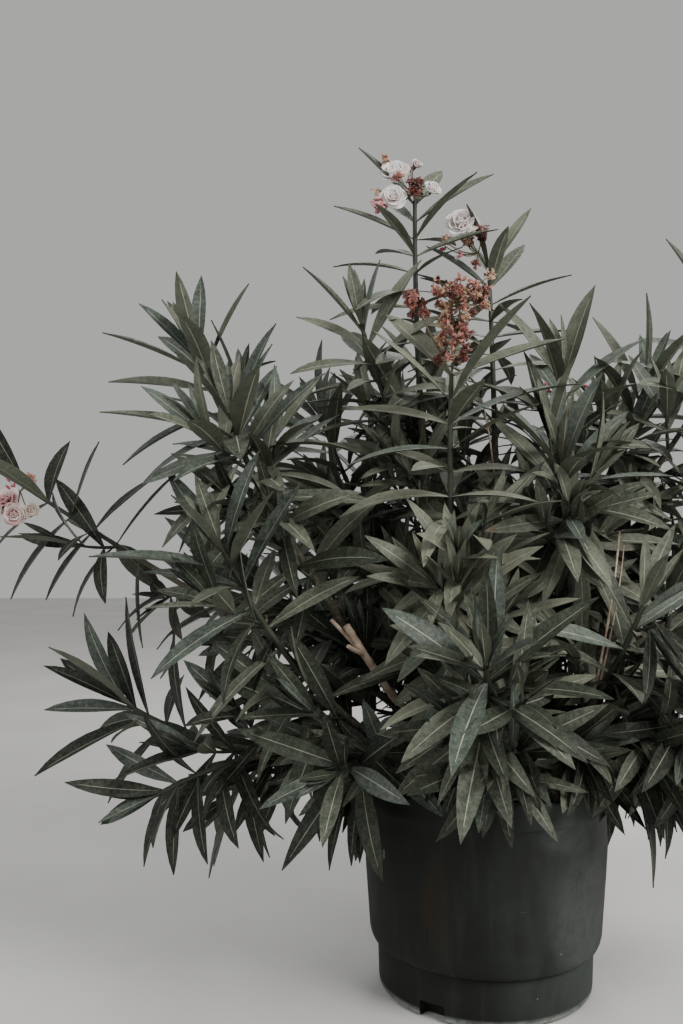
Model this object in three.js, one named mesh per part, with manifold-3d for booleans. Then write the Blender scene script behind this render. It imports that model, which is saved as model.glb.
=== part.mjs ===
// A potted oleander: a many-stemmed evergreen shrub, about 1.2 m tall, in a round grey pot.
// Millimetres, +Z up. The origin is the middle of the pot's flat underside.
// The photographed side is the one seen from -Y, with +X to the right.
import * as THREE from "three";
import { mergeVertices } from "three/addons/utils/BufferGeometryUtils.js";
import Module from "manifold-3d";

const wasm = await Module();
wasm.setup();

// Pot
const POT_SIDES = 32;
const POT_HEIGHT = 313;
const RIM_RADIUS = 188; // outside of the rolled band round the top
const RIM_EDGE = 4; // the rim's worn outer corner
const BAND_HEIGHT = 36;
const WALL_TOP_RADIUS = 184; // just under the band
const WALL_MIDDLE_RADIUS = 178;
const WALL_FOOT_RADIUS = 172;
const GROOVE_HEIGHT = 68; // between the wall and the foot ring
const TURN_IN = 18; // height over which the wall curls in to the groove
const CURL = 8; // how far it curls in
const FOOT_RADIUS = 160;
const FOOT_TAPER = 2;
const FOOT_CORNER = 8;
const WALL = 5;
const FLOOR_THICKNESS = 26;
const NOTCHES = 3;
const NOTCH_WIDTH = 40;
const NOTCH_HEIGHT = 24;
const NOTCH_DEPTH = 24;
const FIRST_NOTCH_DEG = 235; // the one that shows, left of the middle of the front

// Soil and the woody base of the stems
const SOIL_TOP = 272;
const SOIL_EDGE = 12; // where it slopes down to the wall
const BASE_SIDES = 16;
const BASE_FOOT_RADIUS = 64; // flare at the soil
const BASE_RADIUS = 52;
const BASE_TOP_RADIUS = 32;
const BASE_HEIGHT = 46;
const BASE_LUMPS = [
  { count: 3, depth: 0.07, turn: 0.8 },
  { count: 5, depth: 0.05, turn: 0 },
];
const FEET_RADIUS = 40; // the stems leave the base on this circle
const FEET_HEIGHT = 298;

// Stems and foliage
const STEM_SIDES = 5;
const STEM_STEP = 110; // one ring of faces for each such length
const STEM_FOOT_RADIUS = 8;
const BRANCH_FOOT_RADIUS = 5.5;
const STEM_TIP_RADIUS = 3.2;
const INTO_LEAVES = 30; // how far a stem runs into its own foliage
const LEAF_REACH = 130; // how far leaves stand out from a stem
const TIP_REACH = 100; // how far the top leaves stand past the stem's tip
const MASS_ROUND = 9;
const MASS_RINGS = 8;
const LOBES = 3; // leaves stand in whorls of three, turned half a gap from ring to ring
const LOBE_DEPTH = 0.12;
const UNEVEN = 0.08;
const BULGE = [0, 0.55, 0.85, 1, 1, 0.88, 0.68, 0.42, 0]; // a mass's width from its foot to its top
const USUAL_REACH = 1.12;
const USUAL_LEAFY = 240;
const GAP = 0.35; // between pieces that touch

// Each stem runs from the base (foot: its bearing on the base, in degrees from +X) or from a fork
// (on: the stem that bears it, at: the share of that stem's length) to its tip. bow is how far the
// middle of the stem lies from the straight line between its ends. leafy is the length below the
// tip that holds the foliage and reach scales the leaves there, where these aren't the usual ones.
const stems = [
  { name: "tall", foot: 128, tip: [-99, 80, 1195], bow: [-20, 8, 0], leafy: 330 },
  { name: "upper_left", on: "tall", at: 0.5, tip: [-185, 20, 990], bow: [-10, -4, 0], leafy: 170, reach: 1 },
  { name: "left_back", on: "tall", at: 0.2, tip: [-250, 160, 860], bow: [-8, 6, -12], leafy: 290 },
  { name: "upper_right", foot: 52, tip: [25, 130, 1102], bow: [6, 4, 0], leafy: 300, reach: 1.02 },
  { name: "back_right", on: "upper_right", at: 0.25, tip: [250, 300, 830], bow: [10, 12, -15] },
  { name: "back_right_low", on: "back_right", at: 0.3, tip: [345, 265, 500], bow: [0, 10, 18], leafy: 180 },
  { name: "back", foot: 95, tip: [-50, 330, 925], bow: [0, 22, -10], leafy: 270 },
  { name: "back_low", on: "back", at: 0.25, tip: [-30, 400, 520], bow: [5, 10, 14], leafy: 180 },
  { name: "back_left_low", on: "left_back", at: 0.15, tip: [-415, 300, 570], bow: [-8, 10, -8] },
  { name: "right", foot: 5, tip: [123, 20, 909], bow: [20, 0, 0] },
  { name: "right_inner", on: "right", at: 0.52, tip: [96, -92, 772], bow: [2, -8, -8], leafy: 130 },
  { name: "far_right", on: "right", at: 0.3, tip: [272, 90, 912], bow: [-6, 2, -8], leafy: 200, reach: 1.08 },
  { name: "right_edge", on: "far_right", at: 0.32, tip: [393, 20, 990], bow: [14, -6, -12] },
  { name: "right_side", on: "right", at: 0.16, tip: [475, 60, 700], bow: [5, 5, -22], leafy: 260 },
  { name: "right_front", foot: 320, tip: [190, -170, 577], bow: [14, -14, -16], leafy: 180 },
  { name: "low_right", on: "right_front", at: 0.25, tip: [222, -104, 352], bow: [0, 0, 26], leafy: 110 },
  { name: "low_right_side", on: "low_right", at: 0.5, tip: [440, -185, 445], bow: [0, -6, 12], leafy: 190 },
  { name: "front", foot: 282, tip: [-39, -300, 518], bow: [-4, -20, 8], leafy: 150, reach: 1.22 },
  { name: "centre", foot: 245, tip: [-60, -100, 898], bow: [-16, -17, 0] },
  { name: "left_front", foot: 214, tip: [-378, -170, 659], bow: [-31, -8, -38], leafy: 290, reach: 1.22 },
  { name: "front_low_left", on: "left_front", at: 0.2, tip: [-222, -220, 363], bow: [-6, -6, 6], leafy: 110 },
  { name: "low_left", foot: 187, tip: [-477, -110, 305], bow: [0, 0, 58], leafy: 160 },
  { name: "low_left_far", on: "low_left", at: 0.6, tip: [-533, -20, 417], bow: [0, 6, -18], leafy: 130 },
  { name: "low_hanging", on: "low_left", at: 0.48, tip: [-392, 50, 250], bow: [0, 8, 24], leafy: 120 },
  { name: "left_top", foot: 160, tip: [-432, -40, 940], bow: [-24, -32, -8], leafy: 300, reach: 1.22 },
  { name: "left_upper", on: "left_top", at: 0.58, tip: [-372, -110, 842], bow: [-4, -10, -10], leafy: 150 },
  { name: "far_left", on: "left_top", at: 0.2, tip: [-715, 60, 746], bow: [0, 10, -12], reach: 1.05 },
];

// The pruned stub shows left of the middle; it has no leaves.
const STUB = { name: "cut", on: "left_top", at: 0.15, tip: [-208, -84, 541], bow: [0, -8, -4], radius: 6 };
// A second head of leaves half way up the centre stem, threaded by it.
const LOWER_HEAD = { name: "centre_low", on: "centre", from: 0.3, to: 0.62 };

const COLOURS = { leaf: 0x56685c, bark: 0x5d5a46, cutWood: 0xb99a78, pot: 0x5f6762, soil: 0x3a2f26 };

const material = (color, roughness) => new THREE.MeshStandardMaterial({ color, roughness, metalness: 0 });
const vector = (list) => new THREE.Vector3(...list);

// A repeatable random number from -1 to 1.
let seed = 7;
function uneven() {
  seed = (seed * 16807) % 2147483647;
  return (seed / 2147483647) * 2 - 1;
}

// A geometry as a solid that can be cut, and back again.
function solidOf(geometry) {
  const corners = geometry.toNonIndexed().getAttribute("position");
  const merged = mergeVertices(new THREE.BufferGeometry().setAttribute("position", corners), 1e-3);
  return new wasm.Manifold(
    new wasm.Mesh({
      numProp: 3,
      vertProperties: new Float32Array(merged.getAttribute("position").array),
      triVerts: new Uint32Array(merged.index.array),
    }),
  );
}

function geometryOf(solid) {
  const mesh = solid.getMesh();
  const geometry = new THREE.BufferGeometry();
  geometry.setAttribute("position", new THREE.BufferAttribute(new Float32Array(mesh.vertProperties), 3));
  geometry.setIndex(new THREE.BufferAttribute(new Uint32Array(mesh.triVerts), 1));
  geometry.computeVertexNormals();
  return geometry;
}

// A cut can leave a sliver loose; only the main body counts.
function mainBody(solid) {
  return solid.decompose().reduce((a, b) => (b.volume() > a.volume() ? b : a));
}

// A profile of [radius, height] points, from the axis and back to it, turned round the Z axis.
function turned(points, sides) {
  const profile = points.map(([radius, height]) => new THREE.Vector2(radius, height));
  return new THREE.LatheGeometry(profile, sides).rotateX(Math.PI / 2);
}

const BAND_FOOT = POT_HEIGHT - BAND_HEIGHT;
const WALL_MIDDLE = (GROOVE_HEIGHT + BAND_FOOT) / 2;
const FOOT_TOP_RADIUS = FOOT_RADIUS - FOOT_TAPER;

function potSolid() {
  const body = turned(
    [
      [0, 0],
      [FOOT_TOP_RADIUS - FOOT_CORNER, 0],
      [FOOT_TOP_RADIUS, FOOT_CORNER],
      [FOOT_RADIUS, GROOVE_HEIGHT - FOOT_TAPER],
      [WALL_FOOT_RADIUS - CURL, GROOVE_HEIGHT + FOOT_TAPER],
      [WALL_FOOT_RADIUS, GROOVE_HEIGHT + TURN_IN],
      [WALL_MIDDLE_RADIUS, WALL_MIDDLE],
      [WALL_TOP_RADIUS, BAND_FOOT],
      [RIM_RADIUS, BAND_FOOT + RIM_EDGE],
      [RIM_RADIUS, POT_HEIGHT - RIM_EDGE],
      [RIM_RADIUS - RIM_EDGE, POT_HEIGHT],
      [WALL_TOP_RADIUS - WALL, POT_HEIGHT - RIM_EDGE / 2],
      [WALL_TOP_RADIUS - WALL, BAND_FOOT],
      [WALL_MIDDLE_RADIUS - WALL, WALL_MIDDLE],
      [WALL_FOOT_RADIUS - WALL, GROOVE_HEIGHT + TURN_IN],
      [FOOT_TOP_RADIUS - WALL, GROOVE_HEIGHT],
      [FOOT_TOP_RADIUS - WALL - 1, FLOOR_THICKNESS],
      [0, FLOOR_THICKNESS],
    ],
    POT_SIDES,
  );
  let pot = solidOf(body);
  for (let i = 0; i < NOTCHES; i++) {
    const bearing = THREE.MathUtils.degToRad(FIRST_NOTCH_DEG + (i * 360) / NOTCHES);
    const notch = new THREE.BoxGeometry(NOTCH_DEPTH * 2, NOTCH_WIDTH, NOTCH_HEIGHT * 2);
    notch.translate(FOOT_RADIUS, 0, 0).rotateZ(bearing);
    pot = pot.subtract(solidOf(notch));
  }
  return pot;
}

function soilSolid() {
  const inset = WALL + GAP + 1; // the faces of a round wall lie a little inside its circle
  return solidOf(
    turned(
      [
        [0, FLOOR_THICKNESS + GAP],
        [FOOT_TOP_RADIUS - inset - 1, FLOOR_THICKNESS + GAP],
        [FOOT_TOP_RADIUS - inset, GROOVE_HEIGHT],
        [WALL_FOOT_RADIUS - inset, GROOVE_HEIGHT + TURN_IN + 1],
        [WALL_MIDDLE_RADIUS - inset, WALL_MIDDLE],
        [WALL_TOP_RADIUS - inset, SOIL_TOP - SOIL_EDGE],
        [WALL_TOP_RADIUS - inset - SOIL_EDGE, SOIL_TOP],
        [0, SOIL_TOP],
      ],
      POT_SIDES,
    ),
  );
}

// The low woody base that the stems rise from, cut flat where it meets the soil.
function baseSolid(grown = 0) {
  const foot = SOIL_TOP + GAP;
  const shape = turned(
    [
      [0, foot - grown],
      [BASE_FOOT_RADIUS + grown, foot - grown],
      [BASE_RADIUS + grown, foot + BASE_HEIGHT / 2 + grown],
      [(BASE_RADIUS + BASE_TOP_RADIUS) / 2 + grown, foot + BASE_HEIGHT + grown],
      [0, foot + BASE_HEIGHT + grown],
    ],
    BASE_SIDES,
  );
  const at = shape.getAttribute("position");
  for (let i = 0; i < at.count; i++) {
    const bearing = Math.atan2(at.getY(i), at.getX(i));
    let swell = 1;
    for (const { count, depth, turn } of BASE_LUMPS) swell += depth * Math.cos(count * bearing + turn);
    at.setXY(i, at.getX(i) * swell, at.getY(i) * swell);
  }
  return solidOf(shape);
}

// The curve of a stem, from its foot or fork to its tip.
const curves = {};
function curveOf(stem) {
  if (!curves[stem.name]) {
    const bearing = THREE.MathUtils.degToRad(stem.foot ?? 0);
    const foot = stem.on
      ? curveOf(stems.find((s) => s.name === stem.on)).getPointAt(stem.at)
      : new THREE.Vector3(FEET_RADIUS * Math.cos(bearing), FEET_RADIUS * Math.sin(bearing), FEET_HEIGHT);
    const tip = vector(stem.tip);
    const control = foot.clone().add(tip).multiplyScalar(0.5).addScaledVector(vector(stem.bow), 2);
    curves[stem.name] = new THREE.QuadraticBezierCurve3(foot, control, tip);
  }
  return curves[stem.name];
}

const leafyOf = (stem) => stem.leafy ?? USUAL_LEAFY;
const footRadiusOf = (stem) => stem.radius ?? (stem.on ? BRANCH_FOOT_RADIUS : STEM_FOOT_RADIUS);

const BACKWARD = new THREE.Vector3(0, 1, 0.15); // no stem runs this way

// A share of the way along a stem, by its length, as its place and the two directions across it.
function frameAt(curve, share) {
  const along = curve.getTangentAt(share);
  const across = new THREE.Vector3().crossVectors(along, BACKWARD).normalize();
  const over = new THREE.Vector3().crossVectors(along, across);
  return { at: curve.getPointAt(share), along, across, over };
}

// One tapering limb along a curve, up to the share of its length given by end.
function limbSolid(curve, footRadius, tipRadius, end, grown = 0) {
  const length = curve.getLength() * end;
  const steps = Math.max(2, Math.round(length / STEM_STEP));
  const limb = new THREE.CylinderGeometry(1, 1, 1, STEM_SIDES, steps);
  const at = limb.getAttribute("position");
  for (let i = 0; i < at.count; i++) {
    const share = (at.getY(i) + 0.5) * end;
    const radius = THREE.MathUtils.lerp(footRadius, tipRadius, share) + grown;
    const { at: middle, across, over, along } = frameAt(curve, share);
    const place = middle
      .addScaledVector(across, at.getX(i) * radius)
      .addScaledVector(over, -at.getZ(i) * radius)
      .addScaledVector(along, at.getY(i) > 0.49 ? grown : 0);
    at.setXYZ(i, place.x, place.y, place.z);
  }
  return solidOf(limb);
}

// One closed, uneven mass of leaves round the stretch of a stem between two shares of its length.
// It runs past the stem's tip by past, and its lobes follow the whorls of leaves.
function massSolid(curve, from, to, past, reach = USUAL_REACH) {
  const length = curve.getLength() * (to - from);
  const total = length + past;
  const mass = new THREE.SphereGeometry(1, MASS_ROUND, MASS_RINGS);
  const at = mass.getAttribute("position");
  const turn = uneven() * Math.PI;
  const lumps = new Map();
  for (let i = 0; i < at.count; i++) {
    const ring = Math.round((Math.acos(THREE.MathUtils.clamp(at.getY(i), -1, 1)) / Math.PI) * MASS_RINGS);
    const up = MASS_RINGS - ring;
    const bearing = Math.atan2(at.getZ(i), at.getX(i));
    const spoke = (Math.round((bearing / (2 * Math.PI)) * MASS_ROUND) + MASS_ROUND) % MASS_ROUND;
    const key = ring * MASS_ROUND + spoke;
    if (!lumps.has(key)) lumps.set(key, 1 + UNEVEN * uneven());
    const whorl = Math.cos(LOBES * (bearing + (up * Math.PI) / LOBES));
    const radius = BULGE[up] * reach * LEAF_REACH * (1 + LOBE_DEPTH * whorl) * lumps.get(key);
    const height = (up / MASS_RINGS) * total;
    const share = Math.min(from + Math.min(height, length) / curve.getLength(), 1);
    const { at: middle, along, across, over } = frameAt(curve, share);
    const place = middle
      .addScaledVector(along, Math.max(0, height - length))
      .addScaledVector(across, radius * Math.cos(bearing + turn))
      .addScaledVector(over, -radius * Math.sin(bearing + turn));
    at.setXYZ(i, place.x, place.y, place.z);
  }
  return solidOf(mass);
}

function middleOf(solid) {
  const box = solid.boundingBox();
  return vector(box.min).add(vector(box.max)).multiplyScalar(0.5);
}

// Where two masses meet, both are cut back to a plane through the middle of what they share.
function partMasses(masses) {
  for (const [i, a] of masses.entries()) {
    for (const b of masses.slice(i + 1)) {
      const shared = a.solid.intersect(b.solid);
      if (shared.volume() <= 0) continue;
      const middle = middleOf(shared);
      const way = middleOf(b.solid).sub(middleOf(a.solid)).normalize();
      const offset = way.dot(middle);
      a.solid = mainBody(a.solid.trimByPlane([-way.x, -way.y, -way.z], -(offset - GAP)));
      b.solid = mainBody(b.solid.trimByPlane([way.x, way.y, way.z], offset + GAP));
    }
  }
}

const group = new THREE.Group();
group.name = "potted_oleander";

function addNode(name, solid, look) {
  const mesh = new THREE.Mesh(geometryOf(solid), look);
  mesh.name = name;
  group.add(mesh);
}

// Stems first: each is a whole limb, trimmed where it leaves the base or the stem that bears it.
const limbs = [];
for (const stem of [...stems, STUB]) {
  const curve = curveOf(stem);
  const length = curve.getLength();
  const end = stem === STUB ? 1 : 1 - (leafyOf(stem) - INTO_LEAVES) / length;
  const tipRadius = stem.radius ?? STEM_TIP_RADIUS;
  const shape = (grown) => limbSolid(curve, footRadiusOf(stem), tipRadius, end, grown);
  limbs.push({ name: stem.name, on: stem.on, solid: shape(0), grown: shape(GAP) });
}
for (const limb of limbs) {
  const bearer = limb.on ? limbs.find((l) => l.name === limb.on).grown : baseSolid(GAP);
  limb.solid = mainBody(limb.solid.subtract(bearer));
}

// Then the foliage, parted from its neighbours and cut round the stems, the base and the pot.
const masses = stems.map((stem) => {
  const curve = curveOf(stem);
  const from = Math.max(0, 1 - leafyOf(stem) / curve.getLength());
  return { name: stem.name, solid: massSolid(curve, from, 1, TIP_REACH, stem.reach) };
});
const lowerCurve = curveOf(stems.find((s) => s.name === LOWER_HEAD.on));
masses.push({
  name: LOWER_HEAD.name,
  solid: massSolid(lowerCurve, LOWER_HEAD.from, LOWER_HEAD.to, 0),
});
partMasses(masses);

const pot = potSolid();
const rimSpace = new THREE.CylinderGeometry(RIM_RADIUS + 1, RIM_RADIUS + 1, POT_HEIGHT + 1, POT_SIDES);
const keptClear = solidOf(rimSpace.rotateX(Math.PI / 2).translate(0, 0, (POT_HEIGHT + 1) / 2));
for (const mass of masses) {
  for (const limb of limbs) mass.solid = mass.solid.subtract(limb.grown);
  mass.solid = mainBody(mass.solid.subtract(keptClear).subtract(baseSolid(GAP)));
}

const bark = material(COLOURS.bark, 0.85);
addNode("pot", pot, material(COLOURS.pot, 0.7));
addNode("soil", soilSolid(), material(COLOURS.soil, 0.95));
addNode("stem_base", baseSolid(), bark);
for (const limb of limbs) {
  const look = limb.name === STUB.name ? material(COLOURS.cutWood, 0.8) : bark;
  addNode(`stem_${limb.name}`, limb.solid, look);
}
for (const mass of masses) addNode(`foliage_${mass.name}`, mass.solid, material(COLOURS.leaf, 0.6));

export default group;
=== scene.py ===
# Potted oleander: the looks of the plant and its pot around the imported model.
# Metres, +Z up, the photographed side faces -Y.
import math

import bpy
import numpy as np
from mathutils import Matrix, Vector


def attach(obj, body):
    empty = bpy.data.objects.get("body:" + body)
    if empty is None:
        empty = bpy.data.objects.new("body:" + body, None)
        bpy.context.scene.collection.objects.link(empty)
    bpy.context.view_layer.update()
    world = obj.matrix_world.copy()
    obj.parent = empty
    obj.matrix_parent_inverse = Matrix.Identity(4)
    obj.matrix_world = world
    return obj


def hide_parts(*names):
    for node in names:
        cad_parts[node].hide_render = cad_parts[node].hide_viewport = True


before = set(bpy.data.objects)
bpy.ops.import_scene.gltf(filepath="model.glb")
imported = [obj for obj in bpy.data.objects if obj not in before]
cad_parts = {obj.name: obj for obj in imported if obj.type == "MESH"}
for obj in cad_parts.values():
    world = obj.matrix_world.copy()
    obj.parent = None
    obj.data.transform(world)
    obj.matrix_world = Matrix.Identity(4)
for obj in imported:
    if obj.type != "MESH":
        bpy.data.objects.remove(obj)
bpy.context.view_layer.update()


# Small tools

def deselectAll():
    if bpy.context.object and bpy.context.object.mode != "OBJECT":
        bpy.ops.object.mode_set(mode="OBJECT")
    bpy.ops.object.select_all(action="DESELECT")


def makeActive(piece):
    deselectAll()
    piece.select_set(True)
    bpy.context.view_layer.objects.active = piece


def startPiece(name):
    # the primitive that was just added, named, with its place in its mesh
    piece = bpy.context.object
    piece.name = name
    piece.data.name = name
    bpy.ops.object.transform_apply(location=True, rotation=True, scale=True)
    return piece


def selectWhere(piece, kind, test):
    # leaves the piece in edit mode with only the points or edges that pass the test selected
    makeActive(piece)
    bpy.ops.object.mode_set(mode="EDIT")
    bpy.ops.mesh.select_mode(type=kind)
    bpy.ops.mesh.select_all(action="DESELECT")
    bpy.ops.object.mode_set(mode="OBJECT")
    for element in piece.data.vertices if kind == "VERT" else piece.data.edges:
        element.select = test(element)
    bpy.ops.object.mode_set(mode="EDIT")


def resizePoints(piece, test, value, centre):
    selectWhere(piece, "VERT", lambda point: test(point.co))
    bpy.ops.transform.resize(value=value, center_override=centre)


def resizeRow(piece, along, width):
    # the points across a leaf or petal at one share of its length
    resizePoints(piece, lambda p: abs(p.y - along) < 0.01, (width, 1, 1), (0, along, 0))


def applyModifier(piece, kind, **settings):
    makeActive(piece)
    modifier = piece.modifiers.new(kind.lower(), kind)
    for name, value in settings.items():
        setattr(modifier, name, value)
    bpy.ops.object.modifier_apply(modifier=modifier.name)


def cutAway(piece, cutter):
    applyModifier(piece, "BOOLEAN", object=cutter, operation="DIFFERENCE", solver="EXACT")
    bpy.data.objects.remove(cutter)


def roughen(piece, lumpSize, lumpDepth, **settings):
    lumps = bpy.data.textures.new(piece.name + "Lumps", "CLOUDS")
    lumps.noise_scale = lumpSize
    lumps.noise_depth = lumpDepth
    applyModifier(piece, "DISPLACE", texture=lumps, **settings)


def smoothFaces(piece, degrees):
    makeActive(piece)
    bpy.ops.object.shade_smooth_by_angle(angle=math.radians(degrees))


def turnedPiece(name, sides, profile):
    # a round shape pulled up ring by ring from a circle, then closed at both ends
    deselectAll()
    radius, height = profile[0]
    bpy.ops.mesh.primitive_circle_add(vertices=sides, radius=radius, location=(0, 0, height))
    piece = startPiece(name)
    bpy.ops.object.mode_set(mode="EDIT")
    bpy.ops.mesh.select_mode(type="EDGE")
    bpy.ops.mesh.select_all(action="SELECT")
    for newRadius, newHeight in profile[1:]:
        grow = newRadius / radius
        bpy.ops.mesh.extrude_edges_move(TRANSFORM_OT_translate={"value": (0, 0, newHeight - height)})
        bpy.ops.transform.resize(value=(grow, grow, 1), center_override=(0, 0, newHeight))
        radius, height = newRadius, newHeight
    bpy.ops.mesh.select_all(action="SELECT")
    bpy.ops.mesh.fill_holes(sides=0)
    bpy.ops.mesh.select_all(action="SELECT")
    bpy.ops.mesh.normals_make_consistent(inside=False)
    bpy.ops.object.mode_set(mode="OBJECT")
    return piece


def arcPoints(centre, radius, fromDegrees, toDegrees, steps):
    # a rounded corner of a profile; 0 degrees points outward and 90 up
    corner = []
    for i in range(steps + 1):
        turn = math.radians(fromDegrees + (toDegrees - fromDegrees) * i / steps)
        corner.append((centre[0] + radius * math.cos(turn), centre[1] + radius * math.sin(turn)))
    return corner


def slopePoints(low, high, steps):
    # a straight stretch of a profile, both ends included
    return [tuple(a + (b - a) * (i / steps) for a, b in zip(low, high)) for i in range(steps + 1)]


def around(bearing, reach, height):
    # the point at a bearing and a distance from the upright axis
    return np.array([math.cos(bearing) * reach, math.sin(bearing) * reach, height])


fullTurn = 6.28  # radians, to draw a bearing or a phase from


def unit(ways):
    return ways / np.maximum(np.linalg.norm(ways, axis=-1, keepdims=True), 1e-9)


# Materials

def shaderOf(material):
    return material.node_tree.nodes["Principled BSDF"]


def newMaterial(name, color, roughness, **sockets):
    material = bpy.data.materials.new(name)
    material.use_nodes = True
    shader = shaderOf(material)
    shader.inputs["Base Color"].default_value = (*color, 1)
    shader.inputs["Roughness"].default_value = roughness
    for socket, value in sockets.items():
        shader.inputs[socket.replace("_", " ")].default_value = value
    return material


def addNode(material, kind, **values):
    node = material.node_tree.nodes.new(kind)
    for name, value in values.items():
        socket = name.replace("_", " ")
        if socket in node.inputs:
            node.inputs[socket].default_value = value
        else:
            setattr(node, name, value)
    return node


def feed(material, value, socket):
    # links the output of a node, or sets a plain number, place or colour
    if isinstance(value, bpy.types.NodeSocket):
        material.node_tree.links.new(value, socket)
    elif socket.type == "RGBA":
        socket.default_value = (*value, 1)
    else:
        socket.default_value = value


def combine(material, kind, values, **settings):
    # the result of a node whose first inputs in use take these outputs or plain values
    node = addNode(material, "ShaderNode" + kind, **settings)
    for value, socket in zip(values, [s for s in node.inputs if s.enabled]):
        feed(material, value, socket)
    return next(s for s in node.outputs if s.enabled)


def product(material, a, b):
    return combine(material, "Math", (a, b), operation="MULTIPLY")


def mixColor(material, factor, a, b):
    return combine(material, "Mix", (factor, a, b), data_type="RGBA")


def remapped(material, value, **spans):
    return combine(material, "MapRange", (value,), **spans)


def objectPlace(material, scale=(1, 1, 1)):
    coordinates = addNode(material, "ShaderNodeTexCoord")
    return combine(material, "Mapping", (coordinates.outputs["Object"],), Scale=scale)


def partsOf(material, place):
    # the outputs X, Y and Z of a place
    split = addNode(material, "ShaderNodeSeparateXYZ")
    feed(material, place, split.inputs["Vector"])
    return split.outputs


def spot(material, centre, size):
    # 1 well inside an egg shape about centre, fading to 0 at its edge
    place = addNode(material, "ShaderNodeTexCoord").outputs["Object"]
    shifted = combine(material, "VectorMath", (place, centre), operation="SUBTRACT")
    squeezed = combine(material, "VectorMath", (shifted, size), operation="DIVIDE")
    reach = combine(material, "VectorMath", (squeezed,), operation="LENGTH")
    return remapped(material, reach, From_Min=1.0, From_Max=0.6)


def noise(material, place, scale, detail=3.0, roughness=0.55):
    node = addNode(material, "ShaderNodeTexNoise", Scale=scale, Detail=detail, Roughness=roughness)
    feed(material, place, node.inputs["Vector"])
    return node.outputs["Fac"]


def ramp(material, value, stops):
    # stops: position and a colour, or position and a plain level
    node = addNode(material, "ShaderNodeValToRGB")
    marks = node.color_ramp.elements
    while len(marks) < len(stops):
        marks.new(0.5)
    for mark, (position, tone) in zip(marks, stops):
        mark.position = position
        mark.color = (*tone, 1) if isinstance(tone, tuple) else (tone, tone, tone, 1)
    feed(material, value, node.inputs["Fac"])
    return node.outputs["Color"]


def clouds(material, place, pattern, stops):
    # pattern: scale, then detail and roughness where they differ from the usual ones
    return ramp(material, noise(material, place, *pattern), stops)


def bump(material, height, strength, distance):
    normal = addNode(material, "ShaderNodeBump", Strength=strength, Distance=distance)
    feed(material, height, normal.inputs["Height"])
    feed(material, normal.outputs["Normal"], shaderOf(material).inputs["Normal"])


def colorInto(material, color):
    feed(material, color, shaderOf(material).inputs["Base Color"])


def scaled(color, factor):
    return tuple(min(1.0, c * factor) for c in color)


def mottledLook(name, finish):
    # finish: roughness, pattern and tones of the colour, its flecks if any, pattern and bump of the relief
    look = newMaterial(name, finish["tones"][-1][1], finish["roughness"])
    place = objectPlace(look)
    color = clouds(look, place, finish["pattern"], finish["tones"])
    if "flecks" in finish:
        color = mixColor(look, clouds(look, place, *finish["flecks"]), color, finish["fleckColor"])
    colorInto(look, color)
    bump(look, noise(look, place, *finish["relief"]), *finish["bump"])
    return look


def finishPiece(piece, looks, nodes=()):
    for look in looks:
        piece.data.materials.append(look)
    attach(piece, "root")
    if nodes:
        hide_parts(*nodes)


# Camera, floor and light

stage = {
    "cameraPlace": (-0.215, -1.583, 0.703),
    "lens": 36.98,
    "sensor": 36,  # mm along the frame's long side
    "floorSize": 14,
    "floorColor": (0.62, 0.61, 0.59),
    "floorRoughness": 0.8,
    "floorPattern": (3.0, 4),
    "floorShades": ((0.3, 0.94), (0.7, 1.05)),
    "worldColor": (0.55, 0.55, 0.54),
    "worldStrength": 0.86,
}
# soft round lights: place, the point each shines at, width, power and colour
lights = {
    "keyLight": ((1.9, -2.0, 2.8), (-0.1, 0, 0.8), 1.9, 132, (1.0, 0.985, 0.955)),
    "fillLight": ((-2.6, -1.6, 1.7), (-0.1, 0, 0.7), 2.2, 26, (0.97, 0.99, 1.0)),
    "backLight": ((0.6, 2.6, 2.6), (-0.1, 0, 0.9), 1.8, 42, (1.0, 1.0, 1.0)),
}


def makeCamera():
    deselectAll()
    bpy.ops.object.camera_add(location=stage["cameraPlace"], rotation=(math.radians(90), 0, 0))
    camera = bpy.context.object
    camera.name = "photoCamera"
    camera.data.lens = stage["lens"]
    camera.data.sensor_width = stage["sensor"]
    bpy.context.scene.camera = camera


def makeFloor():
    bpy.ops.mesh.primitive_plane_add(size=stage["floorSize"], location=(0, 0, 0))
    floor = startPiece("floor")
    look = newMaterial("palePlaster", stage["floorColor"], stage["floorRoughness"])
    shades = [(position, scaled(stage["floorColor"], shade)) for position, shade in stage["floorShades"]]
    colorInto(look, clouds(look, objectPlace(look), stage["floorPattern"], shades))
    floor.data.materials.append(look)


def makeLights():
    world = bpy.data.worlds.new("studio")
    world.use_nodes = True
    sky = world.node_tree.nodes["Background"]
    sky.inputs["Color"].default_value = (*stage["worldColor"], 1)
    sky.inputs["Strength"].default_value = stage["worldStrength"]
    bpy.context.scene.world = world
    for name, (place, aim, size, power, color) in lights.items():
        bpy.ops.object.light_add(type="AREA", location=place)
        light = bpy.context.object
        light.name = name
        light.data.shape = "DISK"
        light.data.size = size
        light.data.energy = power
        light.data.color = color
        light.rotation_euler = (Vector(aim) - Vector(place)).to_track_quat("-Z", "Y").to_euler()


makeCamera()
makeFloor()
makeLights()
print("stage done")


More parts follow.
